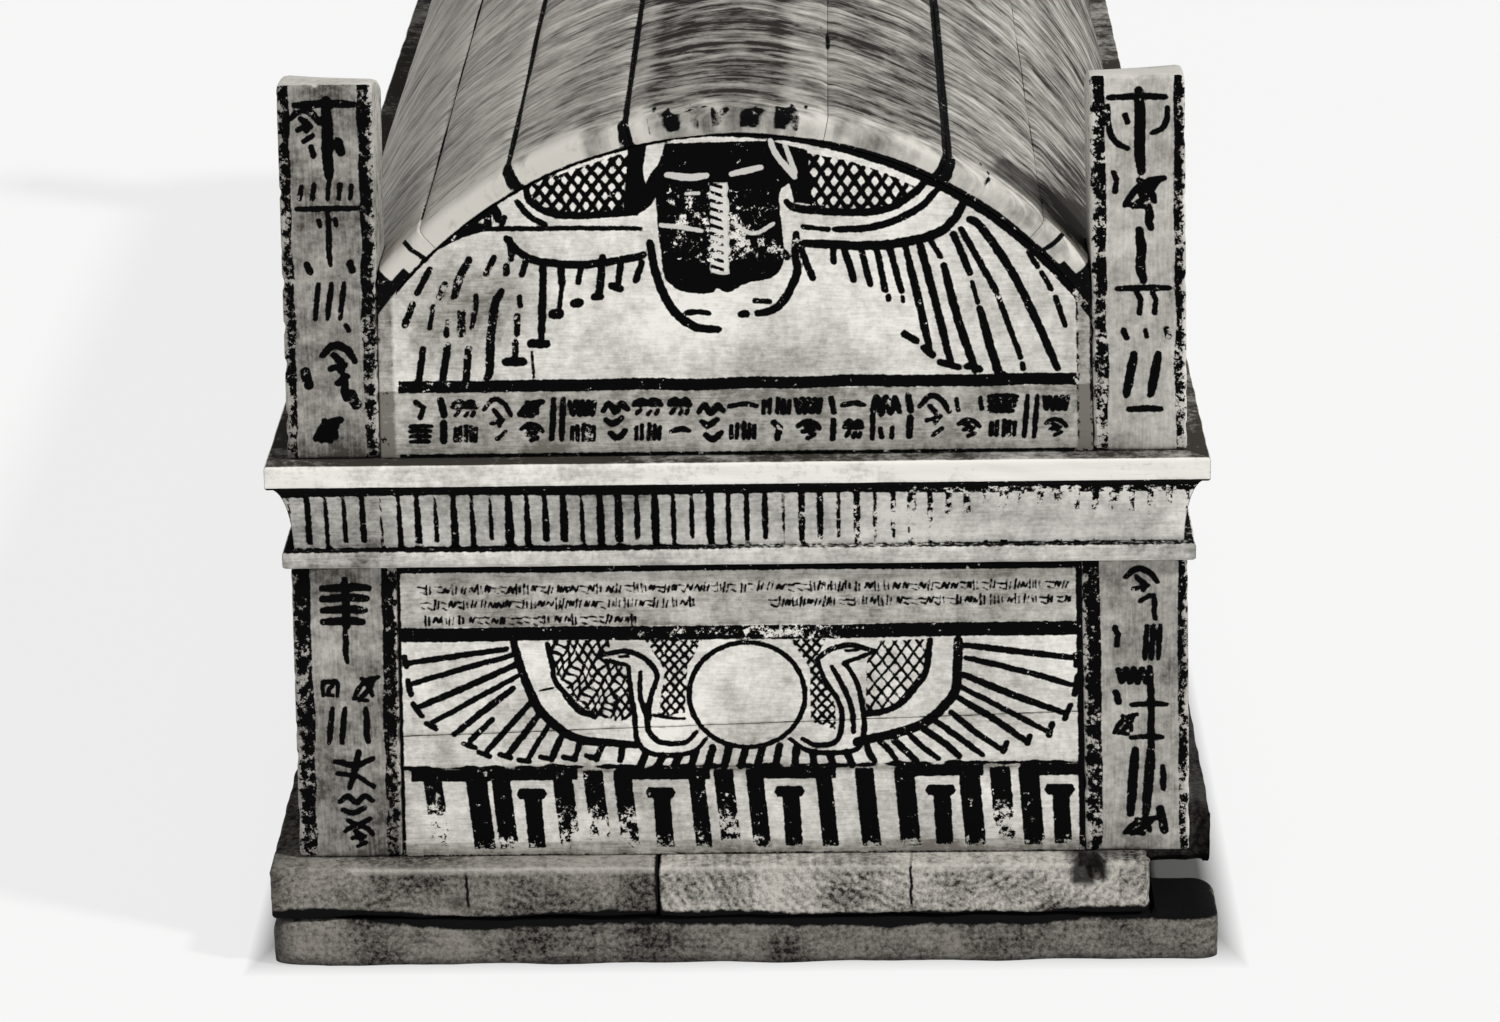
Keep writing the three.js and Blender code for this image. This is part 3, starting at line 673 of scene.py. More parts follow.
def post_piece(name, side, end, foot, height, width, fall, step, material, signs, weathering):
    """A post as a deep board whose top may fall to the back, with bordered and signed faces.

    Heights are squeezed by fall(depth share, inward share), as the worn top of the real post falls.
    """
    facing = side if end < 0 else -side

    def left_edge(z):
        return half_width_at(z) - width if facing > 0 else -half_width_at(z)

    points, quads, caps = board(
        left_edge, lambda z: left_edge(z) + width, level(foot), level(foot + height), step, POST_DEPTH,
        1.5, 1.3, 40 + len(name) + side * 3 + end, depth_steps=12)
    centre = left_edge(points[:, 1]) + width / 2
    u, v, depth = points[:, 0] - centre, points[:, 1].copy(), points[:, 2]
    inward = 0.5 - facing * u / width
    drop = fall(np.clip(depth / POST_DEPTH, 0, 1), np.clip(inward, 0, 1))
    points[:, 1] = v - drop * (v - foot) / height
    signed = distance_to_strokes(u, v, signs)
    waver = 0.7 * slow_waves(v, v * 0.2, 24, 61 + int(side) + 5 * int(end))
    left_border, right_border = weathering["borders"]
    border = np.minimum(width / 2 - left_border + waver + u, width / 2 - right_border + waver - u)
    around = np.minimum(depth, POST_DEPTH - depth) - POST_BORDER + waver
    on_side = depth > 1.0
    on_top = (v > foot + height - 2.0) & on_side
    on_foot = (v < foot + 2.0) & on_side
    ink = np.where(on_side, around, np.minimum(signed, border))
    if weathering["inner_black"]:
        ink = np.where(on_side & (inward > 0.9), -3.0, ink)
    ink = np.where(on_top | on_foot, PAINT_REACH, ink)
    worn_edge = np.exp(-((width / 2 - np.abs(u)) / 2.0) ** 2)
    low = np.clip((v - foot) / height, 0, 1)
    near_edge = np.abs(u) > width / 2 - 9.5
    wear = 0.25 + (0.20 + 0.25 * (1 - low)) * near_edge + 0.45 * worn_edge + 0.3 * on_side
    tone = weathering["tone"] + 0.25 * slow_waves(u, v * 0.5, 45, 71 + int(side)) + 0.25 * worn_edge
    tone = np.where(on_top, 0.75, tone) - 0.35 * patch(u, v, 0, foot, 40, 7)
    add_piece(name, faced(points, HALF_LENGTH, 0 if end < 0 else 180), quads, caps, material,
              [name], gesso_fields(ink, tone, wear))


def brush_sign(kind, u, v, wide, high, weight):
    """One generic mark of a few wobbling strokes, with no meaning.

    The mark is centred on (u, v) in mm, wide by high, and weight is the width of its strokes.
    """
    w, h = wide / 2, high / 2
    lines = {
        "bars": [[(-1.0, k), (0.1, k + 0.06), (1.0 - 0.1 * n, k)]
                 for n, k in enumerate((0.95, 0.35, -0.3, -0.95))],
        "line": [[(-1, 0), (0.2, 0.3), (1, 0)]],
        "stem": [[(-0.2, 1), (0.1, 0.2), (-0.1, -0.4), (0.3, -1)]],
        "reeds": [[(k + 0.16, 1), (k, 0), (k - 0.16, -1)] for k in (-0.9, 0, 0.9)],
        "pair": [[(k + 0.25, 1), (k, 0), (k - 0.25, -1)] for k in (-0.8, 0.7)],
        "dots": [[(-1, 0.6), (-0.85, -0.8)], [(0.9, 0.8), (1, -0.6)]],
        "ticks": [[(k, 1 - 0.4 * abs(k)), (k - 0.06, -0.9)] for k in (-1, -0.5, 0.1, 0.55, 1)],
        "ripple": [[(-1 + 0.25 * n, 0.8 * (-1) ** n) for n in range(9)]],
        "arches": [[(-1, -1), (-0.9, 0.5), (-0.65, 1), (-0.35, 0.2), (0, 1), (0.35, 0.25), (0.65, 1),
                    (1, 0.3)], [(-0.4, -0.55), (-0.3, -0.95)], [(0.45, -0.5), (0.4, -0.95)]],
        "brook": [[(-1, 0.35), (-0.5, 0.7), (0, 0.3), (0.5, 0.7), (1, 0.4)],
                  [(-0.8, -0.1), (-0.2, -0.3), (0.5, 0)], [(-0.5, -0.75), (0.1, -1), (0.8, -0.65)]],
        "tuft": [[(-1, -0.8), (-0.5, 0.1), (0.2, 0.7), (1, 0.9)], [(-0.6, -0.9), (0.2, -0.1), (0.7, 0.8)],
                 [(-0.3, 0.8), (0.3, 0.1), (0.5, -0.6)], [(-1, -0.75), (0.1, -0.95)],
                 [(0, 0.35), (0.4, 0.5)]],
        "slab": [[(-1, 0.3), (0, 0.4), (1, 0.3)],
                 [(-0.9, 0.75), (-0.4, 1), (0, 0.7), (0.5, 1), (0.9, 0.7)], [(-0.8, -0.8), (-0.5, -0.3)],
                 [(0, -0.9), (0.2, -0.5)], [(0.6, -0.9), (0.75, -0.45)]],
        "fork": [[(0.2, 1), (0, 0.1), (-0.3, -1)], [(-1, 0.45), (0, 0.25), (0.9, 0.6)],
                 [(-0.9, -0.2), (0.1, -0.35)], [(0.2, -0.4), (0.9, -0.95)]],
        "wing": [[(-1, 0.5), (-0.3, 1), (0.5, 0.8), (1, 0.2)], [(-0.3, 0.5), (0.2, 0.05), (0.1, -0.3)],
                 [(-0.5, -0.2), (0.4, 0)], [(0.5, -0.6), (-0.1, -0.95)]],
        "gate": [[(-1, -1), (-0.95, 0.9), (0, 1), (1, 0.95), (0.95, -1)],
                 [(0.4, 0.5), (-0.1, 0), (-0.2, -0.6)], [(-0.5, -0.9), (0.3, -0.95)]],
        "sickle": [[(-1, 1), (-0.95, 0.1), (-0.45, -0.65), (0.6, -1)]],
        "leaf": [[(-0.3, 1), (0.3, 0.3)], [(0.2, -0.1), (0, -1)]],
        "blob": [[(-0.3, 0.8), (0.3, -0.8)]],
    }[kind]
    if kind == "leaf":
        weight = weight * 1.5
    return [stroke([(u + w * a, v + h * b) for a, b in line], weight, 0.25, 5) for line in lines]


def column_of(signs):
    """The strokes of a whole column of signs."""
    return [mark for sign in signs for mark in brush_sign(*sign)]


CASE_SIGNS_LEFT = column_of((
    ("bars", 0.5, 183, 22, 18, 3.9), ("stem", 0.5, 184, 2, 24, 3.6), ("stem", 0, 163, 3, 19, 2.4),
    ("gate", -8, 140, 7, 7, 1.9), ("tuft", 9, 140, 12, 13, 2.2), ("pair", -5, 121, 8, 18, 2.6),
    ("stem", 9, 121, 3, 17, 2.8), ("fork", 3, 98, 19, 19, 2.9), ("brook", 3, 78, 16, 18, 2.7),
    ("wing", 4, 63, 13, 11, 2.6)))
CASE_SIGNS_RIGHT = column_of((
    ("wing", 3, 189, 15, 17, 2.7), ("stem", 9, 178, 3, 12, 2.4), ("leaf", -9, 163, 5, 9, 2.2),
    ("reeds", 8, 160, 7, 17, 2.4), ("ripple", -1, 143, 15, 8, 2.8), ("blob", -9, 132, 4, 6, 4.0),
    ("stem", 7, 121, 4, 52, 3.1), ("line", 6, 128, 17, 3, 2.6), ("line", 5, 111, 15, 3, 2.6),
    ("tuft", -5, 118, 11, 11, 2.2), ("pair", 2, 88, 10, 33, 4.4), ("stem", 12.5, 90, 2, 12, 2.6),
    ("tuft", 2, 65, 16, 9, 2.6), ("blob", 12, 68, 6, 14, 5.0)))


def add_case_posts():
    """Front posts carry signs and are fine enough for the brush; rear ones have borders alone."""
    grey = painted_gesso("grey_painted_post", "#cfcbc4", "#4a4742", "#030303", (1.2, 1.2, 14), 0.84)
    for end, end_name, step in ((-1, "front", FRONT_POST_STEP), (1, "rear", PLAIN_STEP)):
        for side, side_name, signs, tone, borders in (
                (-1, "left", CASE_SIGNS_LEFT, -0.45, (9.0, 7.6)),
                (1, "right", CASE_SIGNS_RIGHT, -0.05, (8.6, 5.0))):
            post_piece(f"case_post_{end_name}_{side_name}", side, end, CASE_FOOT, CASE_TOP - CASE_FOOT,
                       POST_WIDTH, lambda back, inward: back * 0, step, grey,
                       signs if end < 0 else [], {"inner_black": False, "tone": tone, "borders": borders})
    return grey


grey_paint = add_case_posts()


# Ends of the case: two boards between the posts with a slanting joint, gessoed white and painted in
# black. The front shows, from the top, three rows of small brush marks, a winged disc between two
# cobras, and a row of palace doorways. The rear has a plain version.
END_THICKNESS = 22.0
PANEL_JOINT_Z = 119.9
PANEL_JOINT_RISE = 10.0
DISC_CENTRE = (2.9, 134.9)
DISC_RADIUS = 27.6
UPPER_PANEL_STEP = 0.70
LOWER_PANEL_STEP = 0.82
FIT = 0.3
TOP_LINE_Z = 198.4
BAND_LINE_Z = 167.4
MARK_ROWS = ((190.2, ((-152, -4), (1, 153))), (182.6, ((-151, -22), (14, 154))), (174.6, ((-149, -48),)))
GROUND_LINE_Z = 98.4
FOOT_LINE_Z = 52.3
DOORWAY_TOP_Z = 96.5
LINTEL_Z = 94.6
STEM_TOP_Z = 85.0
CAP_Z = 84.5
DOORWAY_LEAN = 0.085
RAY_SPACING = 8.0
# each bar of the doorways is (place, width, how mottled)
DOORWAY_BARS = (
    (-147.3, 9.4, 0.9), (-126.4, 10.8, 0.1), (-114.8, 9.6, 0.2), (-85, 9.5, 0.5), (-70, 9.5, 0.6),
    (-56, 9, 0.3), (-20.6, 8.5, 0.2), (-7.5, 10, 0.6), (7.4, 9, 0.2), (40.4, 8.5, 0.1), (60, 9.5, 0.1),
    (79, 9.5, 0.1), (110.2, 9.5, 0.1), (125, 9.5, 0.7), (138.6, 9.5, 0.2))
DOORWAY_STEMS = (-100.6, -38.6, 23.5, 96, 153)
DOORWAY_LINTELS = ((-159, -121), (-120, -79), (-61, -15.5), (4, 45), (74, 115.5), (133, 162))


def small_mark_rows():
    """Three rows of tiny slanting ticks, dashes and ripples, drawn at random and without meaning.

    Marks follow one another every 3 mm or so; the middle of the second row and most of the third
    are rubbed away or were never made.
    """
    rng = np.random.default_rng(7)
    marks = []
    for height, spans in MARK_ROWS:
        for start, stop in spans:
            x = start
            while x < stop:
                tall = rng.uniform(3.6, 5.4)
                wide = rng.uniform(2.0, 3.8)
                foot = height - tall / 2 + rng.uniform(-0.4, 0.4)
                lean = rng.uniform(-0.4, 1.2)
                weight = rng.uniform(1.15, 1.7)
                shape = rng.uniform()
                if shape < 0.45:
                    second = x + 1.7
                    marks.append(stroke([(x, foot), (x + lean, foot + tall)], weight, 0.3, 3))
                    marks.append(stroke([(second, foot + 0.3), (second + lean, foot + tall * 0.8)],
                                        weight, 0.3, 3))
                elif shape < 0.75:
                    teeth = [(x + wide * k / 3, foot + tall * (0.75 if k % 2 else 0.2)) for k in range(4)]
                    marks.append(stroke(teeth, weight, 0.3, 3))
                else:
                    marks.append(stroke([(x, foot + tall * 0.75), (x + wide, foot + tall * 0.65)],
                                        weight, 0.3, 3))
                    marks.append(stroke([(x + wide * 0.3, foot + tall * 0.2), (x + wide, foot)],
                                        weight, 0.3, 3))
                x += wide + rng.uniform(0.5, 1.3)
    return marks


def cobra(crown, width, jaw, *lines):
    """A rearing cobra in outline: a line over the head, one under the jaw, and those down the body."""
    return [stroke(crown, width), stroke(jaw, width * 0.8)] + [stroke(line, width * 0.95) for line in lines]


def feather_strokes(feathers_mm, width):
    """Feathers as (root x, z, tip x, z) in mm, and the two ends of a thick short toe where there is one.

    The long stroke bends by a sine of its place in the row, and its width varies in the same way.
    """
    marks = []
    for place, (root_x, root_z, tip_x, tip_z, *toe) in enumerate(feathers_mm):
        bend = 0.6 * math.sin(2.1 * place)
        middle = ((root_x + tip_x) / 2 + bend, (root_z + tip_z) / 2 + bend)
        weight = width * (1 + 0.12 * math.sin(3.7 * place))
        marks.append(stroke([(root_x, root_z), middle, (tip_x, tip_z)], weight, 0.2, 5))
        if toe:
            marks.append(stroke([tuple(toe[:2]), tuple(toe[2:])], width * 1.25, 0.3, 2))
    return marks


def winged_disc_marks():
    """Black lines of the lower picture, in mm on the panel: wings, feathers, cobras and short rays.

    The rays hang below the disc at an even spacing. They lean out at the right, and are longer where
    the bodies of the cobras bend round.
    """
    lines = (
        ([(-107.5, 163), (-104, 148), (-101, 139), (-97, 129.5), (-91, 122), (-83.5, 115.5), (-75, 112),
         (-65, 111), (-50, 109.5)], 4.2, 0.25),
        ([(-91.5, 162), (-89.5, 151), (-88.5, 143.5), (-83, 135.5), (-77, 128.5), (-70, 124)], 2.4, 0.1),
        ([(-84, 136), (-77, 127.5), (-71, 125.5)], 3.2, 0.25), ([(-96, 138), (-89.5, 139.5)], 0.8, 0.25),
        ([(103.5, 162), (103, 147), (102, 136), (96.5, 128), (90.5, 122), (83, 117.5), (72, 114),
         (61, 111.5), (55, 110)], 4.4, 0.1),
        ([(90, 162), (88.3, 147), (83, 138), (76, 130), (68.5, 126), (58.5, 124)], 2.8, 0.1),
        ([(-57.5, 155.2), (-53, 155.4)], 1.5, 0.25), ([(50, 157.2), (56, 157.4)], 1.5, 0.25),
        ([(-42, 125), (-34, 123.5), (-27, 123)], 1.4, 0.25))
    marks = [stroke(knots, width, taper) for knots, width, taper in lines]
    marks += feather_strokes((
        (-111, 159.8, -159, 152.8, -159.8, 156, -159, 151),
        (-108, 156.5, -158, 141.8, -158.6, 144, -157.4, 136.8),
        (-106, 152, -154.5, 130, -156.6, 132, -152.8, 125.5),
        (-104, 147, -148, 122, -150.6, 121.6, -146, 119),
        (-108.5, 139.5, -137.5, 116),
        (-119, 123.5, -130, 112.5, -133, 111, -128, 109),
        (-100.5, 132, -122.5, 106.5, -126, 106.4, -121, 104.2),
        (-96.5, 126, -112.5, 104.8, -116, 105.2, -111, 103.4),
        (-92, 120.5, -103, 101.8, -107, 102.2, -102, 101.6),
        (-86, 115, -91.5, 102.3, -96.6, 103.8, -91, 102.2),
        (-77.5, 112, -80.5, 102, -85.6, 103.4, -80, 102.2),
        (-66, 110.5, -70, 102, -74.4, 104, -69.6, 102.2), (-57, 110, -58.5, 101.5)), 2.7)
    marks += feather_strokes((
        (106, 159.5, 160, 152.2, 159, 153.6, 159.6, 148.4),
        (107, 153, 157.5, 138.5, 160.2, 142.6, 158.8, 133.6),
        (105.5, 144.5, 153.5, 124.2, 156.6, 128, 154.2, 121),
        (104, 138.5, 146, 114.5, 148.2, 118.6, 146.8, 112.6),
        (102.5, 133, 136, 109.5, 137.6, 112, 136.4, 108.6),
        (100, 125, 124, 105.5, 126.6, 108.8, 125, 104.4), (92, 121, 115, 102.8), (86.5, 116.5, 104, 102.3),
        (79, 115, 94, 101), (71, 112.5, 83.5, 99.8), (65.5, 110.5, 73.5, 100.6),
        (59.5, 109.5, 63.5, 99.6)), 2.9)
    for x in np.arange(-46, 54, RAY_SPACING):
        lean = -2.6 + 5.4 * min(max((x - 15) / 35, 0.0), 1.0)
        tail = math.exp(-((x + 34) / 15) ** 2) + math.exp(-((x - 42) / 15) ** 2)
        marks.append(stroke([(x, 108.5 - 5.0 * tail), (x + lean, 98.2)], 3.9, 0.15, 3))
    marks += cobra(
        ((-66, 156), (-60, 157.5), (-54, 158), (-46, 154.5), (-40, 147), (-41, 139)), 2.4,
        ((-64, 153.5), (-58, 152), (-54, 151)),
        ((-53.3, 150), (-52.5, 137), (-51, 125), (-50, 112), (-44.5, 105.5), (-34, 104), (-23, 106),
         (-17, 112.5)),
        ((-47.7, 147), (-48, 134.5), (-45.5, 125), (-44, 116), (-38.5, 110.7), (-27.5, 110.5),
         (-21.5, 116)), ((-41, 141), (-44, 130), (-44, 123)))
    marks += cobra(
        ((36, 152.5), (43, 158), (52, 160), (63, 157.2)), 2.4,
        ((63, 156.5), (55, 153), (49.5, 151), (52, 148)),
        ((37, 151.5), (40, 142), (46.5, 131), (48, 120), (45, 110.5), (36, 108.5), (29, 112)),
        ((43.5, 149), (49, 138), (52.8, 126.5), (53.5, 115)),
        ((50.5, 150), (55.5, 140), (58, 126.5), (58.4, 115), (55, 106.5), (43, 104.5), (31, 106),
         (23, 112)))
    return marks


def hatching(u, v, spacing, width, steep):
    """Distance in mm to two crossing sets of slanting lines, each a sawtooth of the place across them."""
    found = np.full(len(u), PAINT_REACH)
    for lean in (-1, 1):
        across = (u + lean * v / steep) * steep / math.hypot(1, steep)
        across = across + 0.5 * slow_waves(u, v, 26, 17 + lean)
        found = np.minimum(found, np.abs((across / spacing) % 1.0 - 0.5) * spacing - width / 2)
    return found


def paint_case_front(u, v):
    """All the fields of the front panel, from its height bands and the marks on them.

    Ink is the least of the distances to lines, strokes, hatched feathers and doorways. The disc stays
    clear of it. Wear mottles the doorways' feet, and tone greys the top band and the joint.
    """
    waver = 0.5 * slow_waves(u, v * 0, 55, 81)
    ink = np.minimum(TOP_LINE_Z - v + waver, distance_to_strokes(u, v, winged_disc_marks()))
    ink = np.minimum(ink, np.abs(v - BAND_LINE_Z + waver) - 3.6)
    ink = np.minimum(ink, distance_to_strokes(u, v, small_mark_rows()) + SWELL)
    disc = np.hypot(u - DISC_CENTRE[0], (v - DISC_CENTRE[1]) * 1.02)
    ink = np.where(disc < DISC_RADIUS, np.maximum(ink, 0.6), ink)
    ink = np.minimum(ink, np.abs(disc - DISC_RADIUS) - 1.35)
    left_zone = distance_to_block(u, v, [(-91, 164), (-88, 147), (-79, 133), (-71, 125), (-60, 122),
                                         (-52, 123), (-52, 140), (-56, 150), (-62, 155), (-62, 164)])
    right_zone = distance_to_block(u, v, [(60, 152), (66, 162), (89, 163), (87, 146), (80, 134),
                                          (69, 126), (59, 123)])
    shaken = u + 1.6 * slow_waves(u, v, 13, 84)
    ink = np.minimum(ink, np.maximum(hatching(shaken, v, 4.0, 1.6, 1.5), left_zone))
    ink = np.minimum(ink, np.maximum(hatching(u, v, 4.9, 1.35, 1.35), right_zone))
    for block in (
            [(-45, 163.5), (-18, 163.5), (-25, 150), (-27, 126), (-40, 124), (-36, 148)],
            [(24, 163.5), (41, 163.5), (36, 153), (39, 142), (45, 130), (45, 116), (33, 121), (33, 148)]):
        ink = np.minimum(ink, np.maximum(hatching(u, v, 3.7, 1.55, 1.2), distance_to_block(u, v, block)))
    lean = (v - 75) * DOORWAY_LEAN
    wear = np.full(len(u), 0.22)
    for x, width, mottle in DOORWAY_BARS:
        bar = np.maximum(np.abs(u + lean - x) - width / 2 + waver, np.maximum(v - DOORWAY_TOP_Z, 55.5 - v))
        ink = np.minimum(ink, bar)
        wear = wear + mottle * (bar < 1.5) * np.clip((90 - v) / 22, 0.15, 1)
    for x in DOORWAY_STEMS:
        stem = np.maximum(np.abs(u + lean * 0.6 - x) - 4.2, np.maximum(v - STEM_TOP_Z, 56 - v))
        off_cap = np.abs(v - CAP_Z)
        cap = np.maximum(np.abs(u + 1 - x) - 7.4 + off_cap * 0.5, off_cap - 2.9)
        ink = np.minimum(ink, np.minimum(stem, cap))
    for start, stop in DOORWAY_LINTELS:
        lintel = np.maximum(np.abs(v - LINTEL_Z + waver) - 3.1, np.maximum(start - u, u - stop))
        ink = np.minimum(ink, lintel)
    border = half_width_at(v) - POST_WIDTH - 2.6
    ink = np.minimum(ink, np.minimum(border - u, border + 1.0 + u) + waver)
    ink = np.minimum(ink, np.abs(v - GROUND_LINE_Z + waver) - 0.9 - 0.9 * slow_waves(u, v, 13, 88))
    ink = np.minimum(ink, np.abs(v - FOOT_LINE_Z) - 0.5)
    crack_line = PANEL_JOINT_Z + u * PANEL_JOINT_RISE / 330
    wear = wear + 0.55 * patch(u, v, 25, 167, 30, 5) + 0.7 * np.clip((62 - v) / 10, 0, 1)
    wear = wear + 0.25 * patch(u, v, -60, 60, 25, 14) + 0.25 * patch(u, v, -25, 168, 40, 4)
    tone = 0.42 + 0.25 * slow_waves(u, v, 70, 83) - 0.35 * (v < 97)
    tone = np.where((v > 171) & (v < 200), -0.35, tone) - 0.05 * (disc < DISC_RADIUS - 1)
    tone = tone - 0.9 * np.exp(-((v - 97.3) / 2.2) ** 2) - 0.5 * np.exp(-((v - 52) / 3.5) ** 2)
    tone = tone - 0.5 * np.exp(-((v - crack_line) / 0.8) ** 2)
    tone = tone - 0.3 * patch(u, v, -150, 118, 30, 10) - 0.25 * np.exp(-((v - 171) / 2.0) ** 2)
    tone = tone - 0.3 * patch(u, v, 138, 103, 26, 8) - 0.45 * patch(u, v, -7, 135, 7, 5) - 0.5 * (v < 59)
    return gesso_fields(ink, tone, wear)


def paint_case_rear(u, v):
    """The plainer rear: a black border at the top, a band, and upright bars along the foot."""
    waver = 0.5 * slow_waves(u, v * 0, 55, 85)
    bars = np.abs((u / 21.0) % 1.0 - 0.5) * 21.0 - 4.2 + waver
    ink = np.minimum(np.maximum(bars, v - 94), np.minimum(200.6 - v, np.abs(v - 99) - 2.2))
    ink = np.minimum(ink, np.abs(v - 167.6) - 2.6 + waver)
    tone = 0.2 + 0.3 * slow_waves(u, v, 70, 86) - 0.5 * np.exp(-((v - 52) / 5) ** 2)
    wear = 0.45 + 0.3 * slow_waves(u, v, 60, 87)
    return gesso_fields(ink, tone, wear)


def add_case_ends():
    """The two boards of an end meet in a joint that climbs by 10 mm from left to right."""
    white = painted_gesso("white_gesso_panel", "#efece5", "#77736c", "#030303", (9, 9, 1.0), 0.82)

    def edge(z):
        return half_width_at(z) - POST_WIDTH - FIT

    low, high = PANEL_JOINT_Z - PANEL_JOINT_RISE / 2, PANEL_JOINT_Z + PANEL_JOINT_RISE / 2

    def joint(x):
        return low + (high - low) * (x + edge(low)) / (edge(low) + edge(high))

    for end_name, turn, painter, steps in (
            ("front", 0, paint_case_front, (LOWER_PANEL_STEP, UPPER_PANEL_STEP)),
            ("rear", 180, paint_case_rear, (PLAIN_STEP, PLAIN_STEP))):
        for part, foot, top, seed, step in (
                ("lower", level(CASE_FOOT), lambda x: joint(x) - JOINT_GAP, 91, steps[0]),
                ("upper", lambda x: joint(x) + JOINT_GAP, level(CASE_TOP), 92, steps[1])):
            points, quads, caps = board(lambda z: -edge(z), edge, foot, top, step, END_THICKNESS,
                                        0.5, 0.5, seed)
            fields = painter(points[:, 0], points[:, 1])
            node = f"case_{end_name}_panel_{part}_board"
            add_piece(node, faced(points, HALF_LENGTH, turn), quads, caps, white,
                      [node], fields)
    return white


white_gesso = add_case_ends()


# Long sides of the case: one wide board each, leaning in, gessoed and framed with black bands.
# They are out of the photograph, so they are painted plainly in keeping with the end.
SIDE_REACH = HALF_LENGTH - POST_DEPTH - FIT
SIDE_THICKNESS = 20.0
SIDE_STEP = 3.9
SIDE_BAR_SPACING = 24.0
SIDE_BAR_HALF = 4.6


def add_case_sides():
    """Each side is a board whose depth grows with height by the lean.

    Upright bars run along its foot, an even sawtooth of the place, below a line and a black frame.
    """
    for name, turn in (("case_side_left", -90), ("case_side_right", 90)):
        points, quads, caps = board(
            level(-SIDE_REACH), level(SIDE_REACH), level(CASE_FOOT), level(CASE_TOP), SIDE_STEP,
            SIDE_THICKNESS, 0.6, 0.8, 95 + turn)
        u, v = points[:, 0], points[:, 1]
        waver = 0.6 * slow_waves(u, v, 70, 96)
        bars = np.abs((u / SIDE_BAR_SPACING) % 1.0 - 0.5) * SIDE_BAR_SPACING - SIDE_BAR_HALF + waver
        ink = np.minimum(np.maximum(bars, v - 92), np.minimum(196 - v + waver, np.abs(v - 98) - 2.4 + waver))
        ink = np.minimum(ink, SIDE_REACH - 7 - np.abs(u) + waver)
        tone = 0.25 + 0.35 * slow_waves(u, v, 120, 97) - 0.5 * np.exp(-((v - 52) / 5) ** 2)
        wear = 0.45 + 0.35 * slow_waves(u, v, 90, 98)
        points[:, 2] += (points[:, 1] - CASE_FOOT) * BATTER
        add_piece(name, faced(points, FOOT_HALF_WIDTH, turn), quads, caps, white_gesso,
                  [name], gesso_fields(ink, tone, wear))


add_case_sides()


# Cornice: four lengths of moulding, mitred at the corners, with a fillet, a hollow that sweeps out
# as it rises, and a flat fascia. The hollow has upright black stripes, the fascia is left pale.
CORNICE_FOOT = 202.8
FILLET_TOP = 211.1
HOLLOW_TOP = 244.5
CORNICE_TOP = 256.3
FILLET_OUT = 4.0
HOLLOW_IN = 1.2
FASCIA_OUT = 9.7
CORNICE_HALF_WIDTH = 210.93
STRIPE_SPACING = 8.6
STRIPE_FOOT_Z = 238.2
ARRIS = 1.6
FILLET_EDGE = 1.0


def cornice_profile(step):
    """The section as (out, up) points: fillet, quarter-wave hollow, fascia, top, and the flat inside.

    The hollow goes out as 1 - cos of an angle while it rises as its sine, and the upper arris of the
    fascia is a quarter circle.
    """
    def between(a, b):
        count = max(2, int(math.hypot(b[0] - a[0], b[1] - a[1]) / step))
        return [(a[0] + (b[0] - a[0]) * k / count, a[1] + (b[1] - a[1]) * k / count) for k in range(count)]

    angle = np.linspace(0, math.pi / 2, int(38 / step))
    hollow = [(-HOLLOW_IN + (FASCIA_OUT - 1 + HOLLOW_IN) * (1 - math.cos(a)),
               FILLET_TOP + (HOLLOW_TOP - FILLET_TOP) * math.sin(a)) for a in angle]
    inner = FILLET_OUT - FILLET_EDGE
    profile = between((-END_THICKNESS, CORNICE_FOOT), (inner, CORNICE_FOOT))[::3]
    profile += between((inner, CORNICE_FOOT), (FILLET_OUT, CORNICE_FOOT + FILLET_EDGE))
    profile += between((FILLET_OUT, CORNICE_FOOT + FILLET_EDGE), (FILLET_OUT, FILLET_TOP - FILLET_EDGE))
    profile += between((FILLET_OUT, FILLET_TOP - FILLET_EDGE), (inner, FILLET_TOP))
    profile += between((inner, FILLET_TOP), hollow[0]) + hollow
    profile += between((FASCIA_OUT - 0.7, HOLLOW_TOP), (FASCIA_OUT, HOLLOW_TOP + 0.9))
    profile += between((FASCIA_OUT, HOLLOW_TOP + 0.9), (FASCIA_OUT, CORNICE_TOP - ARRIS))
    profile += [(FASCIA_OUT - ARRIS * (1 - math.cos(a)), CORNICE_TOP - ARRIS * (1 - math.sin(a)))
                for a in np.linspace(0, math.pi / 2, 5)[:-1]]
    profile += between((FASCIA_OUT - ARRIS, CORNICE_TOP), (-END_THICKNESS, CORNICE_TOP))
    profile += [(-END_THICKNESS, CORNICE_TOP - 18 * k) for k in range(0, 3)]
    return np.array(profile)


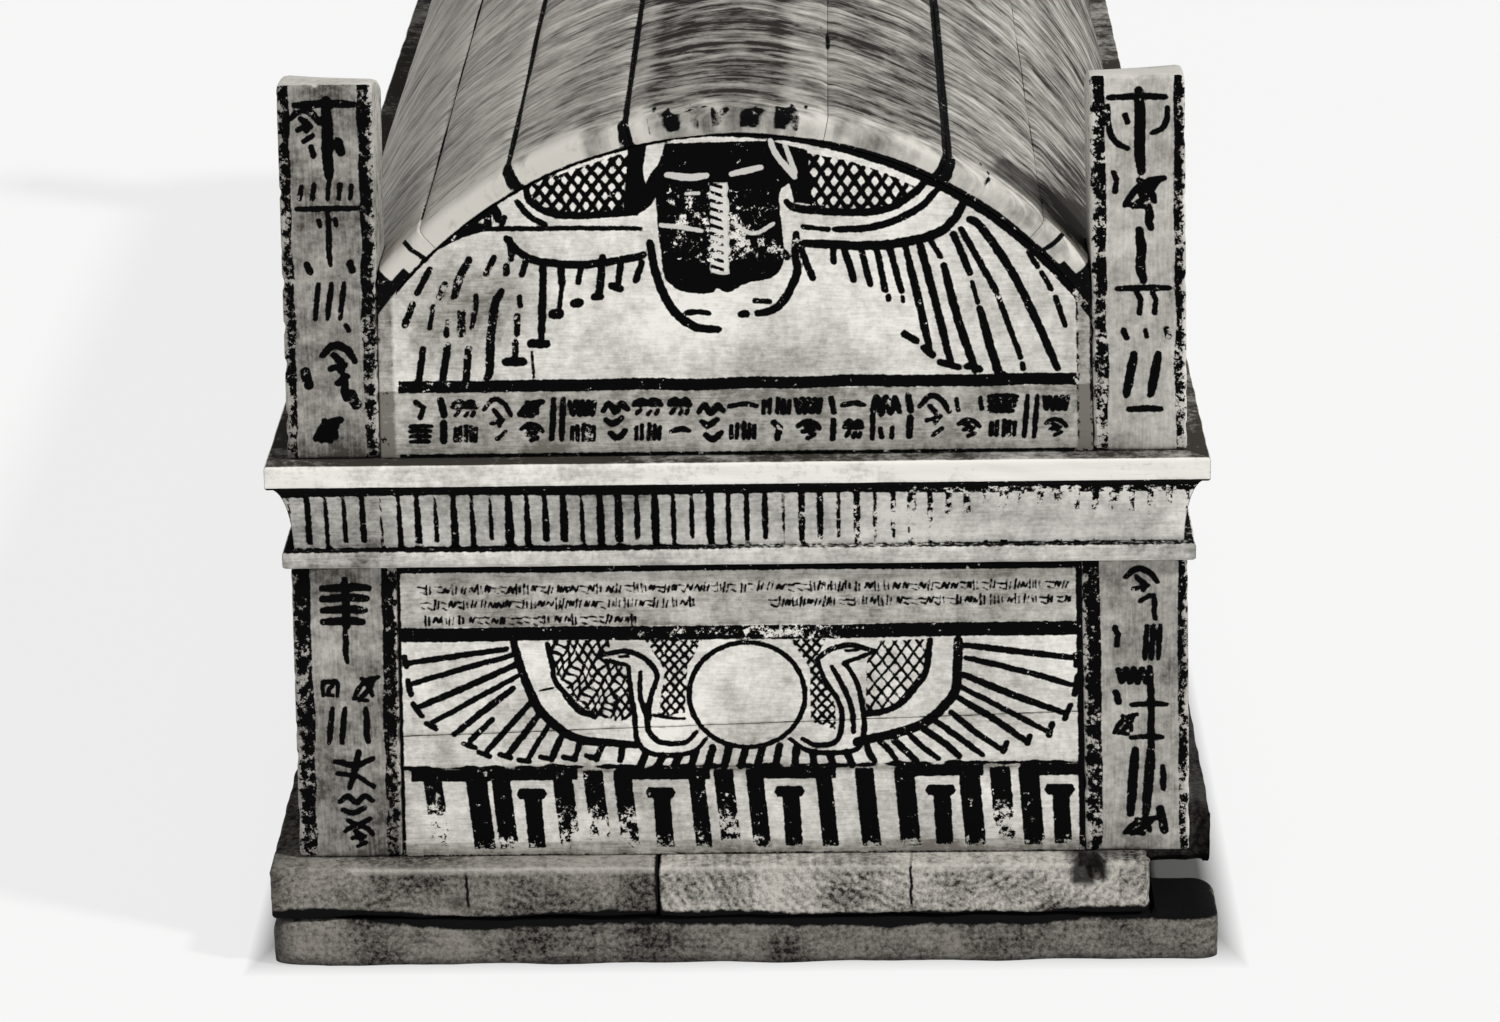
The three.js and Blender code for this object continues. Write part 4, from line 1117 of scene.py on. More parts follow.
def paint_cornice(u, out, v, worn_right):
    """Stripes on the hollow, a dark line under the fascia and dark ledges; rubbed to dots at the right.

    A stripe is a sawtooth of the place, and its width and lower end vary by sines of its count.
    """
    waver = 1.0 * slow_waves(u * 0.3, v, 60, 101) + 0.25 * slow_waves(u, v, 6, 102)
    stripe = np.floor(u / STRIPE_SPACING)
    thick = 1.25 + 0.45 * np.sin(stripe * 2.3) + 0.2 * np.sin(stripe * 5.1)
    stripes = np.abs((u / STRIPE_SPACING) % 1.0 - 0.5) * STRIPE_SPACING + waver * 0.45 - thick
    uneven = 2.2 * np.sin(stripe * 1.7) + 1.3 * np.sin(stripe * 3.9)
    inside = np.maximum(FILLET_TOP + 1.6 + uneven * 0.6 - v, v - HOLLOW_TOP)
    ink = np.maximum(stripes, inside)
    # a black band under the fascia, partly paint and partly painted shadow of the fascia's overhang
    under = np.maximum(STRIPE_FOOT_Z - v + waver * 0.8, v - HOLLOW_TOP - 2)
    seam = np.abs(v - FILLET_TOP - 0.2) - 0.55 + waver * 0.3
    ink = np.where(out < FASCIA_OUT + 1, np.minimum(ink, np.minimum(under, seam)), ink)
    right = np.clip((u - 5) / 120, 0, 1) if worn_right else 0.25
    band = (v > FILLET_TOP) & (v < HOLLOW_TOP - 3)
    wear = 0.25 + band * right * 1.25 * np.clip(0.35 + (240 - v) / 30, 0, 1)
    on_ledge = (v > CORNICE_TOP - 0.5) & (out < FASCIA_OUT - 0.8)
    tone = 0.35 + 0.3 * slow_waves(u, v * 2, 80, 103)
    tone = tone + band * (0.38 * np.clip(u / 90, -1, 1) if worn_right else 0.0)
    tone = np.where(v > HOLLOW_TOP, tone + 0.62, tone) - 1.9 * on_ledge
    tone = tone - 0.25 * (v < FILLET_TOP) - 0.15 * (out > FASCIA_OUT) * slow_waves(u, v, 22, 104)
    ink = np.where(on_ledge | (v > HOLLOW_TOP + 1), PAINT_REACH, ink)
    ink = np.where(out < -END_THICKNESS + 2, PAINT_REACH, ink)
    return gesso_fields(ink, tone, wear)


def add_cornice():
    """Each length is its section carried between two mitres, x = share * (half length + out)."""
    paint = painted_gesso("gessoed_moulding", "#ebe8e1", "#393631", "#030303", (12, 12, 1.2), 0.82)
    for name, along, distance, turn, step in (
            ("cornice_front", CORNICE_HALF_WIDTH, HALF_LENGTH, 0, 1.15),
            ("cornice_right", HALF_LENGTH, CORNICE_HALF_WIDTH, 90, 3.4),
            ("cornice_rear", CORNICE_HALF_WIDTH, HALF_LENGTH, 180, 2.8),
            ("cornice_left", HALF_LENGTH, CORNICE_HALF_WIDTH, -90, 3.4)):
        profile = cornice_profile(1.2 if step < 2 else 2.0)
        shares = np.linspace(-1, 1, int(2 * along / step) + 1)
        out, up = profile[:, 0], profile[:, 1]
        u = shares[:, None] * (along + out - FIT)[None, :]
        worn = 0.35 * slow_waves(u, up * 4 + 0 * u, 30, 105 + turn)
        worn = worn * (out > 2) * (np.abs(shares) < 1)[:, None]
        points = np.stack([u, up + 0 * u, -out + np.clip(worn, -0.1, 0.5)], axis=-1)
        count = len(profile)
        index = np.arange(len(shares) * count).reshape(len(shares), count)
        quads = np.concatenate([ring_faces(a, b) for a, b in zip(index[:-1], index[1:])])
        caps = [index[0], index[-1][::-1]]
        fields = paint_cornice(u.ravel(), (out + 0 * u).ravel(), (up + 0 * u).ravel(), turn == 0)
        add_piece(name, faced(points.reshape(-1, 3), distance, turn), quads[:, ::-1],
                  [cap[::-1] for cap in caps], paint, [name], fields)


add_cornice()


# Posts of the lid: like those of the case but slimmer and taller, standing on the cornice. Their
# tops are worn pale and fall to the back, and their inner faces are black above the vault.
LID_FOOT = 256.6
LID_POST_WIDTH = 43.5
LID_POST_HEIGHT = 180.6
TOP_FALL = 7
CORNER_FALL = 6
LID_SIGNS_LEFT = column_of((
    ("line", 0, 428, 27, 3, 3.4), ("stem", 1, 412, 3, 36, 5.0), ("wing", -9, 418, 13, 15, 3.0),
    ("blob", 6.5, 408, 4, 6, 5.4), ("blob", -6, 406, 3, 5, 3.4), ("ticks", 0, 387, 23, 8, 2.6),
    ("line", 0, 378.6, 28, 1, 2.4), ("stem", 0.5, 364, 3, 25, 2.4), ("dots", 0, 372, 8, 4, 2.6),
    ("dots", 0.5, 350.5, 21, 5, 4.0), ("reeds", 0, 334, 13, 17, 2.3), ("blob", 8, 321, 4, 3, 2.8),
    ("wing", 3.5, 303, 15, 19, 3.6), ("stem", 6, 292, 4, 12, 3.2), ("blob", -11.5, 296.5, 5, 8, 5.8),
    ("blob", 10, 286, 8, 6, 6.5), ("tuft", -2, 271, 12, 11, 3.6)))
LID_SIGNS_RIGHT = column_of((
    ("line", 0, 427, 26, 2, 2.8), ("stem", 1, 411, 3, 38, 4.8), ("sickle", -8, 413, 11, 20, 2.6),
    ("sickle", 9, 416, -9, 12, 2.4), ("blob", -5, 417, 3, 4, 3.4), ("leaf", -10.5, 387, 5, 9, 2.0),
    ("tuft", 3, 382, 18, 15, 3.0), ("blob", 2, 382, 6, 5, 6.0), ("stem", 5, 370, 5, 10, 3.6),
    ("stem", 1, 352, 7, 24, 4.4), ("line", 2, 336, 24, 2, 2.6), ("leaf", 0, 329, 6, 10, 2.0),
    ("leaf", 7, 329, 5, 10, 2.0), ("dots", 3, 314, 21, 5, 3.4), ("blob", 3, 314, 2, 4, 2.6),
    ("pair", 1.5, 294, 15, 20, 4.0), ("line", 2, 277, 15, 2, 3.0)))


def add_lid_posts():
    """The top falls by TOP_FALL over the depth, as its square, and by more at its inner back corner."""
    def fall(back, inward):
        return back ** 2 * (TOP_FALL + CORNER_FALL * inward)

    for end, end_name, step in ((-1, "front", FRONT_POST_STEP), (1, "rear", PLAIN_STEP)):
        for side, side_name, signs, tone, borders in (
                (-1, "left", LID_SIGNS_LEFT, -0.38, (5.5, 6.8)),
                (1, "right", LID_SIGNS_RIGHT, 0.42, (6.8, 5.2))):
            post_piece(f"lid_post_{end_name}_{side_name}", side, end, LID_FOOT, LID_POST_HEIGHT,
                       LID_POST_WIDTH, fall, step, grey_paint,
                       signs if end < 0 else [], {"inner_black": True, "tone": tone, "borders": borders})


add_lid_posts()


# End boards of the lid: one arched board under each end of the vault, gessoed. The front one shows
# a winged scarab over a thick line, and below it a band of large brush marks.
VAULT_RADIUS = 214.62
VAULT_CENTRE_Z = 209.28
VAULT_THICKNESS = 12.0
LID_ARCH_RADIUS = VAULT_RADIUS - VAULT_THICKNESS - FIT
LID_END_STEP = 0.88
THICK_LINE_Z = 292.0
LID_FOOT_LINE_Z = 257.6
BAND_MIDDLE_Z = 275.0
BAND_TIERS_Z = (280.5, 268.5)
BACK_TICK_PITCH = 3.95


def band_of_signs():
    """Bold generic marks about 20 mm high in a close row, some of them in two tiers, drawn at random."""
    rng = np.random.default_rng(23)
    tall = ("tuft", "brook", "reeds", "fork", "arches", "gate", "wing", "pair", "leaf", "stem")
    low = ("slab", "ripple", "ticks", "line", "wing", "bars", "leaf", "dots", "tuft")
    marks = []
    x = -153.0
    while x < 148:
        kind = tall[rng.integers(0, len(tall))]
        wide = {"pair": 6.0, "leaf": 4.0, "stem": 3.0}.get(kind, rng.uniform(9, 14))
        weight = rng.uniform(1.9, 2.7)
        middle = x + wide / 2
        if rng.uniform() < 0.45:
            wide = rng.uniform(9, 13)
            middle = x + wide / 2
            upper, lower = BAND_TIERS_Z
            marks += brush_sign(low[rng.integers(0, len(low))], middle, upper, wide, 7.5, weight)
            marks += brush_sign(low[rng.integers(0, len(low))], middle, lower, wide * 0.85, 8, weight)
        else:
            weight = weight * (2.2 if kind == "stem" else 1.1)
            marks += brush_sign(kind, middle, BAND_MIDDLE_Z + rng.uniform(-1, 1), wide, 20, weight)
        x += wide + rng.uniform(2.4, 3.8)
    return marks


def scarab_marks():
    """Black lines of the upper picture: wing lines, whole and broken feathers, and the beetle's legs."""
    wing_lines = (
        ([(-104, 363.5), (-98.5, 357), (-92, 353), (-81, 351), (-67, 350.5), (-46, 353.5), (-41, 355)],
         3.2),
        ([(-94.5, 388), (-92, 380.5), (-82, 375), (-70, 374), (-46, 375)], 2.8),
        ([(-98.5, 381), (-93, 374), (-86, 369.8)], 2.4),
        ([(-135, 362), (-125, 366.5), (-112, 368), (-90, 368), (-70, 368), (-42, 367.5)], 1.8),
        ([(-137, 360), (-126, 366), (-116, 368.8)], 4.4),
        ([(-120, 371.5), (-114, 376), (-109.5, 378), (-107, 372.5)], 3.8),
        ([(-112.5, 377), (-112, 370)], 3.2), ([(-104.6, 373.5), (-106, 369.5)], 2.6),
        ([(33, 359.5), (41.5, 359), (59, 358), (72, 358.5), (86, 361), (95.5, 364.5), (101.5, 370),
         (106, 378)], 3.8),
        ([(25, 379.5), (28, 376.8), (37, 375.2), (59, 374), (73.5, 376.5), (84.5, 384), (88, 388)], 3.0),
        ([(32.5, 367.5), (44, 366)], 2.3),
        ([(47.5, 366), (61.5, 366.5), (73.5, 369.5), (86, 376), (94, 384.5)], 2.9))
    legs = (
        ([(-38, 360.5), (-36, 347), (-32, 335), (-26, 325.5), (-17.5, 319.5), (-7.5, 318.3)], 3.5),
        ([(29.3, 364), (28.8, 352.5), (29.6, 346), (26, 337), (21.5, 330), (16.5, 327), (11, 325.8)], 3.3),
        ([(5.5, 325.7), (3.6, 325.5)], 3.8), ([(31, 358), (36.5, 342.8)], 3.2),
        ([(9.8, 332), (16.5, 331.5)], 2.5), ([(-22, 326.5), (-17, 327), (-11.5, 326.2)], 2.1),
        ([(25, 353), (22, 357)], 3.4))
    feathers = (
        ([(-102.5, 363), (-102, 353.5)], 3.0), ([(-104.5, 350), (-104.5, 346.5)], 3.0),
        ([(-95, 354), (-97.3, 346)], 3.0), ([(-99, 335), (-98.6, 331)], 2.6),
        ([(-100.3, 326), (-100.5, 317)], 2.8), ([(-101.5, 313), (-101.8, 305)], 3.0),
        ([(-106, 303.5), (-98.6, 303.5)], 4.6), ([(-87.5, 352), (-88.5, 330), (-89.5, 314)], 3.0),
        ([(-94, 312.4), (-87.4, 312)], 4.6), ([(-79.5, 351), (-79, 341.5)], 3.5),
        ([(-79.2, 340), (-80.6, 329)], 2.0), ([(-83.4, 326.6), (-80.8, 326.8)], 5.2),
        ([(-70, 349.5), (-71.5, 342)], 2.8), ([(-73.6, 331.8), (-71.4, 332)], 4.6),
        ([(-60, 354), (-61.5, 340), (-62.5, 335)], 3.1), ([(-64.4, 334.8), (-61.4, 335)], 3.6),
        ([(-51.5, 352), (-53, 341.5)], 3.0), ([(-56, 340), (-52.4, 338.6)], 3.7),
        ([(-42, 351), (-45, 342.5)], 3.2), ([(-94, 308), (-93.6, 296)], 1.0),
        ([(-140, 349), (-146, 337.5)], 2.8), ([(-148.5, 332), (-152.5, 322)], 3.2),
        ([(-144.5, 310), (-147, 295)], 3.2), ([(-133, 342), (-136, 335.5)], 2.9),
        ([(-139, 331), (-141, 320.5)], 2.1), ([(-121.5, 353.5), (-126.5, 344), (-129, 335.5)], 3.3),
        ([(-132.5, 323.5), (-133.5, 317)], 2.5), ([(-133, 312), (-136, 295)], 3.4),
        ([(-119, 336), (-119.5, 330), (-121.5, 320.5)], 2.1), ([(-126, 328), (-126.5, 317.5)], 4.0),
        ([(-123.5, 310), (-125, 295.5)], 3.6), ([(-110, 354.5), (-114, 346.5)], 2.8),
        ([(-107, 338), (-110.5, 331), (-113, 314), (-114, 299.5), (-115.5, 296)], 3.4),
        ([(46, 356.5), (46.5, 350.5)], 2.8), ([(51, 356.5), (54, 348), (55.5, 341.5)], 2.9),
        ([(59, 356.5), (63, 339.5)], 3.1), ([(66, 357), (70, 336.5)], 3.1),
        ([(71.4, 333.4), (71.6, 332)], 2.4), ([(72, 357), (77.5, 336)], 3.1),
        ([(78, 333), (78.4, 331)], 1.8), ([(78.8, 315), (84, 311.8)], 3.6),
        ([(79.5, 357), (86.5, 326), (90.5, 307)], 3.1), ([(87.8, 308.3), (91.6, 304.8)], 3.6),
        ([(86, 358.5), (88, 351), (92.5, 333), (100.5, 299.5)], 3.2), ([(95.4, 301), (103.6, 298.6)], 3.4),
        ([(91, 360), (95.5, 352.5)], 2.6), ([(97, 348), (103.5, 322), (111.5, 297)], 3.3),
        ([(107.8, 299), (113.6, 297.6)], 3.4), ([(101.5, 363), (109, 344.5)], 3.4),
        ([(110, 340), (112.6, 330)], 2.0), ([(113.6, 327), (121.5, 298), (125, 294.5)], 3.5),
        ([(105, 365.5), (121, 335.5)], 3.1), ([(122, 333), (132.5, 303)], 2.7),
        ([(133.3, 300), (133.6, 297.5)], 2.6),
        ([(109, 370), (114, 366.5), (128, 345), (140, 320.5), (149.5, 297.5)], 3.3),
        ([(136, 354), (140, 347)], 2.5), ([(142, 344), (146.5, 336)], 2.5),
        ([(148.5, 332), (153, 318.5)], 2.5))
    return [stroke(knots, width * 1.08, 0.2, 5) for knots, width in wing_lines + legs + feathers]


def paint_lid_front(u, v):
    """Fields of the arched board: picture, thick line and band of marks, with a worn border.

    The beetle's body is a filled outline through listed points, with pale lines on its head and a
    pale ticked column down its back. The band and the left feathers are greyer than the rest.
    """
    reach = np.hypot(u, v - VAULT_CENTRE_Z)
    waver = 0.5 * slow_waves(u, v * 0, 48, 111)
    ink = distance_to_strokes(u, v, scarab_marks() + band_of_signs())
    left_zone = distance_to_block(u, v, [(-95, 389), (-90, 380), (-82, 375), (-68, 373), (-50, 374),
                                         (-44, 405), (-60, 400), (-78, 394)])
    right_zone = distance_to_block(u, v, [(34, 403), (36, 377), (50, 374), (62, 372), (77, 376),
                                          (88, 384), (70, 393), (52, 399)])
    ink = np.minimum(ink, np.maximum(hatching(u, v, 4.9, 2.2, 1.35), left_zone))
    ink = np.minimum(ink, np.maximum(hatching(u, v, 5.2, 2.3, 1.5), right_zone))
    body = curve_through([
        (-30, 408), (-33, 399), (-39, 389.5), (-35, 381.5), (-34.3, 368), (-33, 354), (-31.5, 343.5),
        (-25, 337.5), (-17.5, 336), (-10, 336), (-7.5, 338.2), (-2.5, 336.2), (6, 340.5), (17, 342.7),
        (22, 347), (23.6, 355), (22.6, 369), (22, 384), (27.5, 390.5), (21, 401.5), (17, 408.5)], 4)
    for block in (
            [(-47, 406), (-38.6, 407.3), (-40.3, 395), (-39, 388), (-34.6, 382), (-38, 377.5),
             (-44, 373.6), (-50, 375)],
            [(16, 409), (35, 404), (37, 378), (28.5, 379.3), (26.5, 388), (19, 398)],
            [(-167, 353), (-146, 351.5), (-151, 343.5), (-159, 335), (-167, 331)], body):
        ink = np.minimum(ink, distance_to_block(u, v, block))
    thick = 0.9 + 2.5 * np.clip((u + 10) / 100, 0, 1)
    ink = np.minimum(ink, LID_ARCH_RADIUS - thick - reach + 0.6 * waver)
    ink = np.minimum(ink, np.maximum(np.abs(v - THICK_LINE_Z - u * 0.003 + waver) - 3.0, np.abs(u) - 160))
    side = half_width_at(v) - LID_POST_WIDTH - FIT - np.abs(u)
    strips = np.where(u < 0, side - 6.5, np.minimum(side - 1.4, np.abs(side - 6.6) - 0.9))
    ink = np.minimum(ink, strips + 1.2 * waver)
    ink = np.minimum(ink, np.abs(v - LID_FOOT_LINE_Z) - 0.9)
    column = np.abs(u + 6.0 + 0.7 * slow_waves(v, v, 9, 113)) - 4.3
    chalk = np.maximum(column, np.maximum(v - 389, 345 - v))
    tick_rows = np.abs(((v + 0.35 * u) / BACK_TICK_PITCH) % 1 - 0.5) * BACK_TICK_PITCH - 1.0
    ticks = np.maximum(tick_rows, np.abs(u + 7.2) - 3.2)
    ink = np.where(chalk < -0.5, np.maximum(ink, 1.5), ink)
    ink = np.where(ticks < 0.6, np.minimum(ink, np.maximum(ticks, chalk)), ink)
    chalk = np.maximum(chalk, -ticks)
    pale_lines = (
        ([(-29.5, 393), (-20, 391.6), (-11.5, 392.4)], 2.7), ([(0, 393), (7, 394.5), (13.5, 396)], 2.3),
        ([(18, 408.5), (21, 401.5), (29, 391)], 2.2), ([(24.5, 407), (28, 397), (29.5, 393)], 1.6),
        ([(-21, 384), (-15, 384)], 1.3), ([(-33, 369), (-24, 368), (-14, 366)], 1.5),
        ([(0, 370), (9.5, 364.5), (19, 369)], 1.3))
    lines = [stroke(knots, width) for knots, width in pale_lines]
    chalk = np.minimum(chalk, distance_to_strokes(u, v, lines))
    on_shell = patch(u, v, -2, 362, 38, 28)
    wear = 0.2 + 0.50 * on_shell * (v < 386) * (v > 351) + 0.5 * patch(u, v, -128, 330, 26, 34)
    wear = wear + np.where(u < 0, 1.0, 0.45) * (side < 9) + 0.25 * patch(u, v, 135, 335, 20, 20)
    wear = wear + 0.15 * (v < 288)
    tone = 0.62 + 0.2 * slow_waves(u, v, 80, 114) - 0.3 * patch(u, v, -20, 300, 75, 9)
    tone = tone - 0.35 * patch(u, v, 60, 305, 60, 14) - 1.1 * patch(u, v, -124, 330, 36, 40)
    tone = tone - 0.4 * patch(u, v, 128, 330, 26, 30) - 0.5 * patch(u, v, 156, 305, 5, 22)
    tone = tone - 1.0 * np.clip((7.5 - side) / 1.5, 0, 1)
    tone = np.where(v < 289.5, tone - 1.05, tone) - 0.4 * np.exp(-((v - 257) / 4.0) ** 2)
    return gesso_fields(ink, tone, wear, chalk)


def paint_lid_rear(u, v):
    """The plainer rear arch: a border along the curve and a line above the foot."""
    reach = np.hypot(u, v - VAULT_CENTRE_Z)
    waver = 0.5 * slow_waves(u, v, 48, 115)
    ink = np.minimum(LID_ARCH_RADIUS - 6 - reach + waver, np.abs(v - 290) - 2.4 + waver)
    tone = 0.25 + 0.3 * slow_waves(u, v, 80, 116)
    return gesso_fields(ink, tone, 0.5 + 0 * u)


def add_lid_ends():
    """Each board stands on the cornice between the lid posts and is arched to the vault's underside."""
    def edge(z):
        return half_width_at(z) - LID_POST_WIDTH - FIT

    def arch(x):
        return VAULT_CENTRE_Z + np.sqrt(np.maximum(LID_ARCH_RADIUS ** 2 - x ** 2, 1.0))

    for name, turn, painter, step in (("lid_end_board_front", 0, paint_lid_front, LID_END_STEP),
                                      ("lid_end_board_rear", 180, paint_lid_rear, PLAIN_STEP)):
        points, quads, caps = board(lambda z: -edge(z), edge, level(LID_FOOT), arch, step,
                                    END_THICKNESS, 0.6, 0.4, 117 + turn)
        fields = painter(points[:, 0], points[:, 1])
        add_piece(name, faced(points, HALF_LENGTH, turn), quads, caps, white_gesso,
                  [name], fields)


add_lid_ends()


# Vault: seven long staves laid over the end boards, edge to edge. Their front ends are rounded
# and painted white with black ticks; the tops are limed grey with sweeping brush strokes, and some
# of the joints are lined in black. The outermost two are notched round the lid posts.
STAVE_JOINTS_DEG = (-42.4, -28.5, -13.0, 12.0, 27.5, 42.0)
INKED_JOINTS = ((-28.5, 2.3), (-13.0, 2.4), (27.5, 4.4))
SPRINGING_DEG = 77.27
# tints of the staves; the left ones are lightened as painted light where the lamp at the right leaves them
# dim
STAVE_TINTS_AND_FILL_LIGHT = (0.72, 0.56, 0.16, -0.05, -0.24, -0.06, -0.12)
STAVE_STEP = 3.2
STATIONS_ALONG = 128
VAULT_NOSE = 5.0
NOSE_START = 7.0
END_FACE_ROWS = 7
NOTCH_BACK = HALF_LENGTH - POST_DEPTH - FIT
STREAK_SCALE = (0.031, 0.17, 1.0)
BROAD_STREAK_SCALE = (0.010, 0.038, 1.0)
LIME_GRAIN_MM = 2.8
LIME_SPOT_MM = 11.0
# smears of the wash are (along the arc, behind the end, half width, half length, how dark)
SMEARS = ((-48, 165, 26, 10, 0.7), (60, 150, 30, 9, 0.9), (98, 150, 12, 60, 0.35), (-95, 95, 14, 60, -0.3),
          (70, 90, 40, 14, -0.35), (-30, 60, 40, 20, -0.2))


def limed_plank(name):
    """Thin grey lime wash over softwood, matt: broad brush streaks across the grain, and rubbed spots.

    sweep and across are places in mm along and across the brush strokes, which follow the arc of the
    vault and slant a little to the front as they come down on either side of the crest.
    """
    wash = new_material(name)
    place = add_node(wash, "TexCoord").outputs["Object"]
    fields = {key: add_node(wash, "Attribute", attribute_name=key).outputs["Fac"]
              for key in ("ink", "tone", "wear", "sweep", "across")}
    flat = add_node(wash, "CombineXYZ", {0: fields["sweep"], 1: fields["across"]})
    streak_map = add_node(wash, "Mapping", {"Vector": flat, "Scale": STREAK_SCALE})
    streaks = add_node(wash, "TexNoise", {
        "Vector": streak_map, "Scale": 1.0, "Detail": 4.0, "Roughness": 0.62, "Distortion": 0.45})
    broad_map = add_node(wash, "Mapping", {"Vector": flat, "Scale": BROAD_STREAK_SCALE})
    broad = add_node(wash, "TexNoise", {"Vector": broad_map, "Scale": 1.0, "Detail": 2.0})
    fine, spots = (
        add_node(wash, "TexNoise", {
            "Vector": place, "Scale": 1000 / size, "Detail": detail, "Roughness": rough})
        for size, detail, rough in ((LIME_GRAIN_MM, 4.0, 0.7), (LIME_SPOT_MM, 5.0, 0.68)))
    swept = add_node(wash, "Math", {0: streaks, 1: 2.0, 2: -1.65}, operation="MULTIPLY_ADD")
    wide = add_node(wash, "Math", {0: broad, 1: 1.3, 2: swept}, operation="MULTIPLY_ADD")
    dusted = add_node(wash, "Math", {0: spots, 1: 1.10, 2: wide}, operation="MULTIPLY_ADD")
    toned = add_node(wash, "Math", {0: fields["tone"], 1: 0.5, 2: dusted}, operation="MULTIPLY_ADD")
    ground = add_node(wash, "Mix", {
        "Factor": toned, 6: linear("#2c2926"), 7: linear("#cdc9c1")}, data_type="RGBA")
    softened = add_node(wash, "Math", {0: fine, 1: 1.4, 2: fields["ink"]}, operation="MULTIPLY_ADD")
    covered = add_node(wash, "MapRange", {
        "Value": softened, "From Min": 0.5, "From Max": 0.95, "To Min": 1.0, "To Max": 0.0})
    holding = add_node(wash, "Math", {0: fields["wear"], 1: -0.30, 2: 0.74}, operation="MULTIPLY_ADD")
    missing = add_node(wash, "Math", {0: fine, 1: holding}, operation="SUBTRACT")
    bare = add_node(wash, "MapRange", {
        "Value": missing, "From Min": -0.02, "From Max": 0.02, "To Min": 1.0, "To Max": 0.0})
    black = add_node(wash, "Math", {0: covered.outputs[0], 1: bare.outputs[0]}, operation="MULTIPLY")
    blacked = add_node(wash, "Mix", {
        "Factor": black, 6: ground.outputs[2], 7: linear("#030303")}, data_type="RGBA")
    relief = add_node(wash, "Math", {0: fine, 1: 0.5, 2: streaks}, operation="MULTIPLY_ADD")
    bump = add_node(wash, "Bump", {"Height": relief, "Strength": 0.4, "Distance": 0.0006})
    shader = add_node(wash, "BsdfPrincipled", {
        "Base Color": blacked.outputs[2], "Roughness": 0.78, "Specular IOR Level": 0.08, "Normal": bump})
    add_node(wash, "OutputMaterial", {"Surface": shader})
    return wash


def stave_grid(first_deg, last_deg, step):
    """A stave as (angle, Y, radius) points, its faces, and its ends closed.

    Along its length it goes up the front end, round a quarter-circle nose, back along the top and
    down the rear end, and returns along the underside; the angle runs across it. The outermost
    edges stop at the lid posts near both ends, and at the height of the cornice behind them, so
    their angle is asin(post face / radius) or acos(bed height / radius).
    """
    def limit(angle_deg, y, radius):
        angle = np.full(np.broadcast(y, radius).shape, math.radians(angle_deg))
        if abs(angle_deg) < 60:
            return angle
        sign = math.copysign(1, angle_deg)
        height = VAULT_CENTRE_Z + radius * 0.62
        post = half_width_at(height) - LID_POST_WIDTH - FIT
        bed = np.arccos((LID_FOOT - VAULT_CENTRE_Z) / radius)
        return sign * np.where(np.abs(y) > NOTCH_BACK, np.arcsin(post / radius), bed)

    quarter = np.linspace(0, math.pi / 2, 6)
    end_face = [(-HALF_LENGTH, VAULT_RADIUS - VAULT_THICKNESS + NOSE_START * k / (END_FACE_ROWS - 1))
                for k in range(END_FACE_ROWS)]
    nose = [(-HALF_LENGTH + VAULT_NOSE * (1 - math.cos(t)), VAULT_RADIUS - VAULT_NOSE * (1 - math.sin(t)))
            for t in quarter[1:]]
    near = -HALF_LENGTH + VAULT_NOSE + np.cumsum(np.linspace(1.0, 3.6, 17))
    far = np.linspace(near[-1] + 4, -near[-1] - 4, STATIONS_ALONG)
    top_y = np.sort(np.concatenate([near, far, -near, [-NOTCH_BACK, NOTCH_BACK]]))
    top_y = np.unique(np.round(top_y, 3))
    doubled = np.sort(np.concatenate([top_y, [NOTCH_BACK + 0.02, -NOTCH_BACK - 0.02]]))
    front = end_face + nose
    back = [(-y, r) for y, r in front[::-1]]
    path = np.array(front + [(y, VAULT_RADIUS) for y in doubled] + back)
    under = np.array([(y, VAULT_RADIUS - VAULT_THICKNESS) for y in doubled[::-1]])
    loop = np.concatenate([path, under])
    width = math.radians(last_deg - first_deg) * VAULT_RADIUS
    shares = np.linspace(0, 1, max(5, int(width / step)))
    first = limit(first_deg, loop[:, 0], loop[:, 1])
    last = limit(last_deg, loop[:, 0], loop[:, 1])
    angle = first[:, None] + (last - first)[:, None] * shares[None, :]
    trim = JOINT_GAP / VAULT_RADIUS
    angle = angle + trim * (1 - 2 * shares)[None, :]
    radius = np.repeat(loop[:, 1:2], len(shares), axis=1)
    y = np.repeat(loop[:, 0:1], len(shares), axis=1)
    edge_drop = 0.7 * np.exp(-np.minimum(shares, 1 - shares) * width / 0.8)
    radius[front_rows(len(front), len(doubled))] -= edge_drop[None, :]
    index = np.arange(angle.size).reshape(angle.shape)
    following = np.roll(index, -1, axis=0)
    quads = np.stack([index[:, :-1], following[:, :-1], following[:, 1:], index[:, 1:]], axis=-1)
    quads = quads.reshape(-1, 4)
    sides = []
    top = np.arange(len(front), len(front) + len(doubled))
    below = np.arange(len(loop) - 1, len(loop) - 1 - len(doubled), -1)
    for column, flip in ((0, False), (len(shares) - 1, True)):
        faces = np.stack([index[top[:-1], column], index[below[:-1], column], index[below[1:], column],
                          index[top[1:], column]], axis=1)
        front_cap = np.concatenate([index[:len(front) + 1, column], index[below[:1], column]])
        rear_rows = np.arange(top[-1], len(path))
        rear_cap = np.concatenate([index[rear_rows, column], index[below[-1:], column]])
        if not flip:
            sides.append((faces, front_cap[::-1], rear_cap[::-1]))
        else:
            sides.append((faces[:, ::-1], front_cap, rear_cap))
    quads = np.concatenate([quads, sides[0][0], sides[1][0]])
    caps = [sides[0][1], sides[0][2], sides[1][1], sides[1][2]]
    return angle, y, radius, quads, caps


def front_rows(front_count, top_count):
    """Rows of a stave's loop that lie on its nose and its top."""
    return np.arange(END_FACE_ROWS, front_count * 2 + top_count - END_FACE_ROWS)


